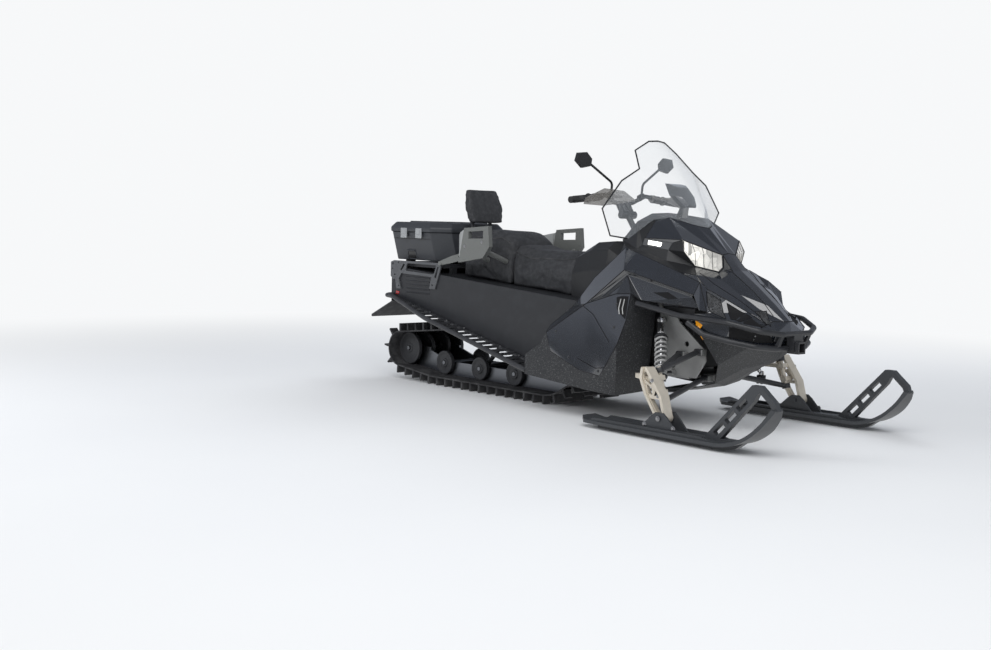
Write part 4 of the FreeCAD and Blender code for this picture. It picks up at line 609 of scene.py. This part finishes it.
class Outside:
    """The outer faces of some parts, to lay things on."""

    def __init__(self, *parts):
        points, faces = [], []
        for part in parts:
            start, thing = len(points), part if isinstance(part, bpy.types.Object) else frame["nodes"][part]
            mesh = thing.data
            points += [vert.co.copy() for vert in mesh.vertices]
            faces += [[start + i for i in face.vertices] for face in mesh.polygons]
        self.tree = BVHTree.FromPolygons(points, faces)

    def under(self, place, way):
        """The nearest outer point along a direction, and which way is out there."""
        hit, normal, _, _ = self.tree.ray_cast(place + way * REACH, -way, 2.5 * REACH)
        if hit is None:
            hit, normal, _, _ = self.tree.find_nearest(place)
            if normal.dot(way) < 0:
                normal = -normal
        return hit, normal

    def line(self, points, way, closed=False, step=STEP, lift=0.0):
        """A line of points laid on the surface, with a point every few millimetres."""
        laid = []
        ends = points[1:] + points[:1] if closed else points[1:]
        for a, b in zip(points, ends):
            pieces = max(1, round((b - a).length * 1000 / step))
            laid += [a.lerp(b, i / pieces) for i in range(pieces)]
        if not closed:
            laid.append(points[-1])
        found = [self.under(place, way.normalized()) for place in laid]
        return [hit + normal * (lift / 1000) for hit, normal in found]


def sheet_on(form, outside, outline, way, lift):
    """A thin sheet cut to an outline and pressed onto a surface."""
    way = way.normalized()
    middle = sum(place.dot(way) for place in outline) / len(outline)
    flat = bmesh.new()
    flat.faces.new([flat.verts.new(place + way * (middle - place.dot(way))) for place in outline])
    u = way.orthogonal().normalized()
    for axis in (u, way.cross(u)):
        spread = [place.dot(axis) for place in outline]
        cuts = int((max(spread) - min(spread)) * 1000 / STEP)
        for i in range(1, cuts + 1):
            bmesh.ops.bisect_plane(flat, geom=flat.verts[:] + flat.edges[:] + flat.faces[:], plane_no=axis,
                                   plane_co=axis * (min(spread) + i * STEP / 1000 - 0.0003))
    upper, lower = {}, {}
    for vert in flat.verts:
        hit, normal = outside.under(vert.co, way)
        upper[vert] = form.bm.verts.new(hit + normal * (lift / 1000))
        lower[vert] = form.bm.verts.new(hit - normal * BED)
    for face in flat.faces:
        form.bm.faces.new([upper[vert] for vert in face.verts])
        form.bm.faces.new([lower[vert] for vert in reversed(face.verts)])
    for edge in flat.edges:
        if edge.is_boundary:
            a, b = edge.verts
            form.bm.faces.new((upper[a], upper[b], lower[b], lower[a]))
    flat.free()
    return form


print("piece helpers ready")

# %% [markdown]
# ## Ski suspension
# Each front damper is a turned alloy body with a chromed rod, an eye at each end, two spring seats and a coil
# spring whose last turns lie flat on the seats. The plain solids of the construction stand aside for them.

# %% Dampers and coil springs
damper_top, damper_foot = spots((-286, -240, 506), (-146, -396, 222))
damper_way = (damper_foot - damper_top).normalized()
dampers = Form("damper_bodies")
dampers.turned(damper_top - LEFT * 0.014, LEFT, [(0, 14), (2, 18), (26, 18), (28, 14)], 24)
dampers.turned(damper_foot - AHEAD * 0.0077, AHEAD, [(0, 12), (1.5, 15), (14, 15), (15.4, 12)], 24)
dampers.turned(damper_top, damper_way, [
    (12, 11), (20, 13), (26, 19), (30, 20), (76, 20), (78, 18.4), (206, 18.4), (208, 20), (220, 20), (223, 16),
    (224, 7), (318, 7), (319, 12), (332, 12), (340, 9)], 32)
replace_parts(dampers.both().done("damper_alloy", fold=30), "front_shocks")
spring_seats = Form("spring_seats")
for seat, flip in ((98.9, 1), (310.7, -1)):
    spring_seats.turned(damper_top, damper_way, [(seat + flip * d, radius) for d, radius in (
        (-12, 21), (-11, 28), (-4, 29), (-3, 33), (1, 33), (2, 27))], 32)
spring_seats.both().done("dark_steel", fold=30)


def coil(form, start, way, first, last, turns, radius, wire):
    """A coil spring between two distances along a line, with flat end turns."""
    flat, lead, points = 0.7, 3, []  # part of a turn that lies flat at each end, and its rise in mm a turn
    u = way.orthogonal().normalized()
    v = way.cross(u)
    count = int(turns * 22)
    for i in range(count + 1):
        turn = turns * i / count
        rise = min(max((turn - flat) / (turns - 2 * flat), 0), 1)
        d = first + (min(turn, flat) + max(turn - turns + flat, 0)) * lead + rise * (last - first - 2 * flat * lead)
        angle = 2 * math.pi * turn
        points.append(start + way * (d / 1000) + (u * math.cos(angle) + v * math.sin(angle)) * (radius / 1000))
    return form.pipe(points, wire)


coil(Form("coil_springs"), damper_top, damper_way, 106, 304, 9, 26.0, 5.0).both().done("spring_grey")
print("ski suspension dressed")

# %% [markdown]
# ## Lamps and reflectors
# A headlight is a dark bezel round a clear lens with cut facets behind it. The small lamps on the shoulders have
# a white lit window in a grey housing. Amber reflectors sit on the nose and low on the belly, with a faint painted
# glow.

# %% Bezels, lit windows, reflectors
lamp_rim = spots((-188, -220, 896), (-169, -240, 842), (-144, -180, 772), (-80, -74, 746), (-72, -52, 767),
                 (-80, -50, 829))
glass_skin = Outside("headlights")
lamp_out = (lamp_rim[1] - lamp_rim[0]).cross(lamp_rim[3] - lamp_rim[0]).normalized()
lamp_middle = sum(lamp_rim, Vector()) / len(lamp_rim)
bezels = Form("headlight_bezels")
bezels.trace(glass_skin, [place.lerp(lamp_middle, 0.03) for place in lamp_rim], lamp_out, 3.0, 8, closed=True)
bezels.both().done("trim_black")
lens_ribs = Form("headlight_ribs")
for high, low in ((0.22, 0.05), (0.47, 0.40), (0.72, 0.75)):
    a, b = lamp_rim[0].lerp(lamp_rim[5], high), lamp_rim[2].lerp(lamp_rim[3], low)
    lens_ribs.trace(glass_skin, [a.lerp(b, 0.06), a.lerp(b, 0.94)], lamp_out, 2.0, lift=-0.6)
lens_ribs.both().done("lens_rib")

window = spots((-370, -258, 889), (-300, -240, 880), (-306, -244, 860), (-374, -260, 869))
sheet_on(Form("marker_windows"), Outside("marker_lamps"), window, Vector((-0.12, -0.98, 0.12)), 1.2).both().done(
    "lamp_glow")

amber, amber_out = Form("amber_reflectors"), Vector((0.29, -0.96, 0))
sheet_on(amber, Outside("nose", "side_recesses", "side_bands"),
         spots((-20, -314, 530), (0, -307, 518), (13, -303, 509), (5, -306, 493), (-16, -312, 507)), amber_out, 3.0)
sheet_on(amber, Outside("nose_belly", "nose"),
         spots((-34, -320, 442), (-8, -316, 444), (-6, -318, 420), (-28, -322, 416)), amber_out, 2.5)
amber.both().done("amber", edge=0.6)
print("lamps dressed")

# %% [markdown]
# ## Nose, vents and slots
# The nose carries mesh windows, with painted shade in their holes, and recesses with a bar between them, and one
# more recess behind the bumper; the recesses are near-black sheets of painted shade. The side panel has a tall vent
# with two bright fins, and the recess above it a slot; both openings are black sheets of painted shade.

# %% Windows in the nose and vents in the sides
front_out = Vector((0.60, -0.57, 0.50)).normalized()
nose_skin = Outside("nose", "hood")
mesh_windows = (
    spots((-12, -252, 661), (51, -226, 625), (67, -233, 596), (117, -265, 543), (39, -284, 574), (25, -283, 595)),
    spots((165, -115, 576), (193, -63, 580), (249, -104, 514), (206, -108, 539)))
recesses = (
    spots((76, -210, 612), (126, -179, 579), (174, -151, 551), (163, -220, 533), (131, -248, 544), (93, -217, 578)),
    spots((169, -205, 533), (176, -153, 548), (245, -134, 509), (178, -213, 524)))
low_recess = spots((136, -267, 509), (212, -204, 506), (260, -128, 482), (267, -104, 441), (226, -180, 441),
                   (160, -247, 456), (136, -266, 458))
mesh_parts, recess_shade, frames = Form("nose_mesh"), Form("nose_recess_shade"), Form("nose_frames")
for outline in mesh_windows:
    sheet_on(mesh_parts, nose_skin, outline, front_out, 1.0)
mesh_parts.both().done("mesh_black")
# near-black sheets in the recesses: painted shade
for outline in recesses:
    sheet_on(recess_shade, nose_skin, outline, front_out, 0.8)
sheet_on(recess_shade, nose_skin, low_recess, Vector((0.75, -0.66, 0)), 0.8)
recess_shade.both().done("gap_black")
for outline in (mesh_windows[0], recesses[0], mesh_windows[1]):
    frames.trace(nose_skin, outline, front_out, 2.2, closed=True, lift=0.5)
frames.both().done("gap_black")

side_skin = Outside("side_panels")
vents = Form("side_vent_shade")
# black sheets over the vent opening and the slot: painted shade
sheet_on(vents, side_skin, spots((-425, -409, 612), (-399, -406, 620), (-356, -402, 621), (-356, -409, 558),
                                 (-358, -418, 512), (-376, -419, 523), (-415, -417, 556)), RIGHT, 1.0)
sheet_on(vents, Outside("side_recesses"),
         spots((-248, -352, 645), (-170, -337, 651), (-112, -333, 624), (-163, -344, 617)), RIGHT, 1.0)
vents.both().done("gap_black")
fins = Form("vent_fins")
for x in (-404, -382):
    fins.trace(side_skin, spots((x + 6, -405, 606), (x, -414, 560), (x + 8, -417, 534)), RIGHT, 2.6, lift=1.5)
fins.both().done("spring_grey")
print("nose and vents dressed")

# %% [markdown]
# ## Windshield, display and hand controls
# The screen has a black edge strip. The display is a glossy face with a lit window. Switch blocks, levers, rings
# on the grips and the mirror glasses ride with the handlebar.

# %% Edge strip and display
wing_edge = spots((-472, -296, 894), (-507, -382, 906), (-500, -452, 1035), (-494, -326, 1173),
                  (-488, -206, 1236), (-562, -158, 1330), (-560, -60, 1380), (-552, 0, 1384))
screen_skin = Outside("windshield")
strip = Form("screen_strip")
strip.pipe([screen_skin.tree.find_nearest(place)[0] for place in wing_edge], 4.0)
strip.both().done("trim_black")
face = spots((-437, -56, 1156), (-437, 56, 1156), (-402, 62, 1112), (-402, -62, 1112))
sheet_on(Form("display_window"), Outside("display_pod"), face, Vector((-0.80, 0, 0.60)), 0.8).done("screen_lit")

# %% Switch blocks, levers, mirror glass
bar_mid = spot(-748, -262, 1092)
bar_out = (spot(-753, -405, 1078) - bar_mid).normalized()
switches = Form("switch_blocks")
switches.turned(bar_mid - bar_out * 0.052, bar_out, [(0, 14), (2, 19), (42, 21), (46, 17)], 16)
switches.slab([bar_mid - bar_out * along + Vector((-0.012, 0, high)) for along, high in (
    (0.045, 0.017), (0.045, -0.017), (0.015, -0.017), (0.015, 0.017))], Vector((-0.018, 0, 0)))
switches.both().done("body_matt", "steering", edge=1.2)
levers = Form("levers")
levers.pipe([bar_mid + Vector(place) for place in (
    (0.018, 0.030, 0.004), (0.044, 0.004, 0.000), (0.050, -0.060, -0.004), (0.046, -0.112, -0.008))], 4.6)
levers.both().done("lever_alloy", "steering")
rings = Form("grip_rings")
for k in range(9):
    rings.turned(bar_mid + bar_out * (0.030 + 0.0115 * k), bar_out, [(0, 16.6), (1.5, 18.2), (4.5, 18.2), (6, 16.6)])
rings.both().done("grip_rubber", "steering")
oval = [spot(-770, -318, 1284) + Vector((0, math.cos(a) * 0.044, math.sin(a) * 0.024)) for a in angles(24)]
sheet_on(Form("mirror_glass"), Outside("mirrors"), oval, -AHEAD, 0.8).both().done("mirror_silver", "steering")
print("controls dressed")

# %% [markdown]
# ## Seats
# Foam under a stretched cover is not a lofted block. Each cushion is remeshed finely, relaxed and blown up by the
# cloth solver like a tight bag. Piping is laid on afterwards.

# %% Cushions blown up by the cloth solver
CLOTH_STEPS = 20  # how many steps the solver runs


def apply(piece):
    """The mesh as its modifiers make it, with the modifiers gone."""
    graph = bpy.context.evaluated_depsgraph_get()
    graph.update()
    mesh = bpy.data.meshes.new_from_object(piece.evaluated_get(graph))
    piece.modifiers.clear()
    piece.data = mesh


def cushion(form, part, swell, cell=0.0105, rests=True, stiff=4.0):
    """A soft body from a closed shape: it swells by a few millimetres and takes the solid's place."""
    piece = form.done("seat_vinyl", fold=180)
    modify(piece, "REMESH", mode="VOXEL", voxel_size=cell)
    modify(piece, "SMOOTH", factor=0.5, iterations=6)
    apply(piece)
    start = [vert.co.copy() for vert in piece.data.vertices]
    cloth = modify(piece, "CLOTH")
    bag = cloth.settings
    bag.quality, bag.mass, bag.tension_stiffness, bag.bending_stiffness = 4, 0.4, 18, stiff
    bag.use_pressure, bag.uniform_pressure_force = True, 4.0
    bag.effector_weights.gravity = 0
    cloth.collision_settings.use_collision = False
    for step in range(CLOTH_STEPS):
        scene.frame_set(step + 1)
    apply(piece)
    scene.frame_set(1)
    for vert, home in zip(piece.data.vertices, start):
        moved = vert.co - home
        if moved.length > swell:
            moved *= swell / moved.length
        if rests:
            moved.z = max(moved.z, -0.002)
        vert.co = home + moved
    piece.data.shade_smooth()
    modify(piece, "SUBSURF", levels=1, render_levels=1)
    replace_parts(piece, part)
    return piece


def ring(x, rows, under):
    """A closed outline across the machine: rows of half width and height, top first, and the underside."""
    right = [spot(x, -w, z) for w, z in rows] + [spot(x, -rows[-1][0], under)]
    return right + [Vector((p.x, -p.y, p.z)) for p in reversed(right)]


front_seat = cushion(Form("rider_seat").skin([
    ring(-968, [(80, 806), (128, 780), (160, 700)], 583), ring(-1062, [(104, 796), (144, 774), (166, 700)], 590),
    ring(-1290, [(120, 800), (158, 778), (174, 700)], 607), ring(-1412, [(124, 832), (160, 806), (176, 720)], 616)]),
    "seats", 0.012)
rear_seat = cushion(Form("passenger_seat").skin([
    ring(-1428, [(124, 858), (160, 836), (176, 740)], 617), ring(-1500, [(132, 894), (168, 874), (180, 760)], 622),
    ring(-1700, [(134, 898), (168, 878), (180, 770)], 637), ring(-1822, [(128, 904), (160, 884), (174, 780)], 646)]),
    "seats", 0.012)
cushion(Form("backrest_pad").skin([
    spots((front, -half, high), (front, half, high), (back, half, low), (back, -half, low))
    for front, back, half, high, low in (
        (-1806, -1858, 112, 952, 948), (-1828, -1876, 132, 1040, 1034), (-1866, -1896, 112, 1142, 1138))]),
    "backrest", 0.010, cell=0.009, rests=False, stiff=14.0)
posts = Form("backrest_posts")
posts.pipe([spot(x, -70, z) for x, z in (
    (-1845, 672), (-1858, 800), (-1870, 925), (-1876, 960), (-1890, 1060))], 11, 14)
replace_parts(posts.both().done("dark_steel"), "backrest")

# %% Piping
for name, seat, edge in (
        ("rider_piping", front_seat, [(-975, -134, 776), (-1062, -147, 772), (-1290, -162, 776), (-1408, -164, 802)]),
        ("passenger_piping", rear_seat, [(-1436, -164, 838), (-1500, -172, 872), (-1700, -172, 876),
                                         (-1816, -164, 880)])):
    Form(name).trace(Outside(seat), spots(*edge), Vector((0, -0.8, 0.6)), 2.6, 8, step=8, lift=0.6).both().done(
        "piping_black")
print("seats, backrest and piping")

# %% [markdown]
# ## Fasteners and small fittings
# Bolts are placed from a table: which parts they sit on, which way they face and where. Each is dropped on the
# surface by a ray, so none floats or sinks.

# %% Bolts by the table
BOLTS = (
    # name, body, way out, radius in mm, parts that carry them, places off the ski pivots in mm
    ("ski_bolts", "right_ski", RIGHT, 8, ("ski_right", "spindle_right"),
     [(0, -531, 96), (-84, -531, 60), (84, -531, 60)]),
    ("spindle_bolts", "right_ski", RIGHT, 6, ("spindle_right",), [(-40, -520, 190), (-60, -520, 260)]),
    ("panel_screws", "chassis", RIGHT, 5, ("side_panels", "side_bands", "side_recesses"),
     [(-800, -430, 420), (-700, -430, 300), (-500, -430, 250), (-420, -420, 470), (-420, -405, 580),
      (-640, -420, 560), (-790, -420, 520), (-260, -360, 700), (-100, -330, 600)]),
    ("rack_bolts", "chassis", RIGHT, 6, ("rear_rack", "tunnel"), [(x, -294, z) for x, z in (
        (-2316, 640), (-2302, 676), (-1960, 600), (-2262, 586), (-1896, 704), (-2130, 646))]),
    ("board_bolts", "chassis", UP, 5, ("running_boards",), [(x, -300, 300) for x in range(-1960, -1060, 150)]),
    ("guard_bolts", "chassis", RIGHT, 6, ("passenger_guards",),
     [(-1590, -374, 820), (-1450, -374, 846), (-1660, -340, 810)]),
    ("tower_bolts", "chassis", AHEAD, 7, ("subframe",), [(-250, y, z) for y, z in (
        (-200, 500), (-240, 470), (-150, 380), (-90, 300), (-150, 300))]),
)
for name, body, way, radius, parts, places in BOLTS:
    skin, form = Outside(*parts), Form(name)
    for place in spots(*places):
        hit, normal = skin.under(place, way)
        if normal.dot(way) > 0.35:  # no bolt where the surface turns away
            form.bolt(hit, normal, radius)
    if body == "chassis":
        form.both()
    bolts = form.done("dark_steel" if name == "panel_screws" else "bolt_zinc", body, fold=30)
    if body == "right_ski":
        twin = bpy.data.meshes.new_from_object(bolts)
        for vert in twin.vertices:
            vert.co.y = -vert.co.y
        twin.flip_normals()
        other = stand(name + "_left", twin)
        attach(other, "left_ski")
print("bolt groups", len(BOLTS))

# %% [markdown]
# ## Rack plates, guard brackets and box fittings
# Flat pressed parts are drawn as an outline with its openings, filled and given their thickness. The rack has a
# slotted plate on each side, the passenger's guards a facet that runs in to the rack, painted paler as painted
# light, and the box its latches, hinge and hand holds.

# %% Plates with openings
def plate(name, outline, openings, y, thick, finish):
    """A sheet seen from the side, with holes, at a distance from the middle plane, and its twin."""
    drawing = bpy.data.curves.new(name, "CURVE")
    drawing.dimensions, drawing.fill_mode, drawing.extrude = "2D", "BOTH", thick / 2000
    for loop in [outline] + openings:
        line = drawing.splines.new("POLY")
        line.points.add(len(loop) - 1)
        for point, (x, z) in zip(line.points, loop):
            point.co = (x / 1000, z / 1000, 0, 1)
        line.use_cyclic_u = True
    board = stand(name, drawing)
    flat = bpy.data.meshes.new_from_object(board.evaluated_get(bpy.context.evaluated_depsgraph_get()))
    bpy.data.objects.remove(board)
    form = Form(name)
    form.bm.from_mesh(flat)
    bmesh.ops.remove_doubles(form.bm, verts=form.bm.verts[:], dist=0.00001)
    for vert in form.bm.verts:
        vert.co = Vector((PIVOT + vert.co.x, -(y + thick / 2) / 1000 + vert.co.z, vert.co.y))
    return form.both().done(finish, edge=1.0, fold=40)


def disc(x, z, radius):
    """A round opening as a loop of points."""
    return [(x + radius * math.cos(a), z + radius * math.sin(a)) for a in angles(14)]


plate("rack_side_plates", [
    (-1882, 714), (-2310, 714), (-2340, 704), (-2340, 620), (-2316, 602), (-2296, 604), (-2284, 548), (-2240, 548),
    (-2262, 606), (-2240, 640), (-1958, 630), (-1978, 562), (-1926, 562), (-1876, 692)], [
    [(-2180, 701), (-1924, 700), (-1918, 692), (-1936, 652), (-1946, 646), (-2192, 656), (-2198, 664), (-2188, 695)],
    [(-1908, 690), (-1894, 690), (-1918, 624), (-1934, 630)],
    [(-2248, 662), (-2238, 654), (-2206, 692), (-2216, 700)]]
    + [disc(*hole) for hole in ((-2320, 694, 7), (-2322, 664, 5), (-2300, 630, 6), (-2268, 702, 5), (-1950, 584, 6),
                                (-2260, 566, 5))], 290.3, 8, "rack_grey")
plate("guard_brackets", [(-1630, 790), (-1636, 752), (-1752, 722), (-1880, 700), (-1880, 722), (-1764, 760)],
      [disc(-1700, 756, 6), disc(-1850, 710, 4)], 304, 12, "guard_grey")
facets = Form("guard_facets")
facets.slab(spots((-1632, -368, 896), (-1598, -372, 912), (-1632, -372, 752), (-1650, -360, 748)),
            Vector((0, 0.012, 0)))
facets.slab(spots((-1629, -367, 900), (-1700, -318, 880), (-1672, -318, 752), (-1640, -366, 740)),
            Vector((0.003, 0.012, 0)))
# the facets are the guard plastic painted paler: painted light
facets.both().done("guard_light", edge=2.0)

# %% Latches, hinge and hand holds of the box
box_skin, lid_skin = Outside("cargo_box"), Outside("cargo_lid")
latches = Form("latches")
for x in (-2095, -2232):
    back = min(skin.under(spot(x, -290, z), RIGHT)[0].y for skin, z in ((lid_skin, 896), (box_skin, 840))) + 0.001
    for half, low, high, out in ((27, 850, 908, 7), (17, 872, 904, 10)):
        latches.slab([Vector((PIVOT + (x + s * half) / 1000, back, z / 1000)) for s, z in (
            (-1, low), (1, low), (1, high), (-1, high))], Vector((0, -out / 1000, 0)))
latches.done("latch_grey", "lid", edge=1.6)
hinge = Form("lid_hinge")
for x in (-2060, -2280):
    for k in range(3):
        hinge.turned(spot(x - 22 + 15 * k, 291, 856), AHEAD, [(0, 4), (0.6, 5), (13.4, 5), (14, 4)], 14)
hinge.done("dark_steel", "lid")
handle = [spot(x, -280, z) for x, z in ((-2246, 728), (-2164, 728), (-2170, 780), (-2240, 780))]
sheet_on(Form("box_holds"), box_skin, handle, RIGHT, 0.7).both().done("trim_black")
rims = Form("box_hold_rims")
rims.trace(box_skin, handle, RIGHT, 3.0, closed=True, lift=0.8)
rims.trace(box_skin, spots((-2240, -280, 777), (-2170, -280, 777)), RIGHT, 5.0, 8, lift=3.0)
rims.both().done("box_charcoal")
lid_ribs = Form("lid_ribs")
for y in (-150, -50, 50, 150):
    lid_ribs.trace(lid_skin, spots((-2340, y, 943), (-1990, y, 943)), UP, 7.0, 8, step=30)
lid_ribs.done("box_charcoal", "lid")
Form("box_seam").trace(box_skin, spots((-2360, -284, 846), (-2010, -284, 846)), RIGHT, 2.0, lift=0.3).both().done(
    "trim_black")
print("rack, guards and box fitted out")

# %% [markdown]
# ## Seam lines and small trims
# The panels of the body meet in narrow black gaps. Lines that the construction doesn't have are laid on here: the
# service panel's outline on the side, and two creases on each half of the hood, drawn as dark lines of painted shade.

# %% Panel gaps
SHARP, SUNK, HEART = math.radians(50), 0.0014, 0.42  # the least fold, the line's depth, the middle's height in m
edges = Form("panel_edges")
for part in ("side_panels", "side_bands", "side_recesses", "hood", "nose", "cowl"):
    shape = bmesh.new()
    shape.from_mesh(frame["nodes"][part].data)
    bmesh.ops.remove_doubles(shape, verts=shape.verts[:], dist=SAME_PLACE)
    bmesh.ops.dissolve_limit(shape, angle_limit=SAME_FACE, verts=shape.verts[:], edges=shape.edges[:])
    for edge in shape.edges:
        if len(edge.link_faces) != 2 or edge.calc_face_angle(0) < SHARP:
            continue
        a, b = (vert.co for vert in edge.verts)
        middle = (a + b) / 2
        face = max(edge.link_faces, key=lambda item: item.calc_area())
        away = Vector((0, middle.y, middle.z - HEART)).normalized()
        if face.normal.dot(away) > 0.15 and (b - a).length > 0.01:  # it faces outward and is no splinter
            sunk = sum((item.normal for item in edge.link_faces), Vector()).normalized() * SUNK
            edges.pipe([a - sunk, b - sunk], 1.7, 6)
    shape.free()
edges.done("gap_black")
gaps = Form("panel_gaps_and_crease_shade")
side_skin, hood_skin = Outside("side_panels", "side_bands"), Outside("hood", "nose")
for line in (
        [(-352, -418, 509), (-386, -435, 394), (-454, -442, 271), (-520, -445, 262), (-640, -445, 300)],
        [(-640, -430, 560), (-560, -430, 520), (-440, -425, 395)],
        [(-345, -400, 633), (-352, -418, 520)]):
    gaps.trace(side_skin, spots(*line), RIGHT, 2.0)
# dark lines along the hood creases: painted shade
for line in (
        [(-60, -60, 762), (120, -60, 690), (235, -60, 590)],
        [(-100, -200, 742), (60, -160, 670), (200, -110, 575)]):
    gaps.trace(hood_skin, spots(*line), Vector((0.3, -0.2, 0.9)), 1.8)
gaps.both().done("gap_black")

# %% Running boards, tunnel, tail
treads, board_skin = Form("board_treads"), Outside("running_boards")
for x in range(-1070, -1850, -30):
    treads.turned(board_skin.under(spot(x, -301, 300), UP)[0], UP, [(-1, 4.2), (3.0, 4.0), (3.4, 3.2)], 8)
treads.both().done("board_dark")
ribs, tunnel_skin = Form("tunnel_ribs"), Outside("tunnel")
for z in (532, 554, 576, 598, 620):
    ribs.trace(tunnel_skin, spots((-2196, -290, z), (-1984, -290, z)), RIGHT, 5.0, 8, step=40, lift=-2.0)
ribs.both().done("tunnel_dark")
tag = [spot(x, -290, z) for x, z in ((-2296, 516), (-2270, 512), (-2262, 530), (-2290, 534))]
sheet_on(Form("tail_marker"), tunnel_skin, tag, RIGHT, 3.0).both().done("lamp_red", edge=0.8)
print("trims laid, pieces", len(made))
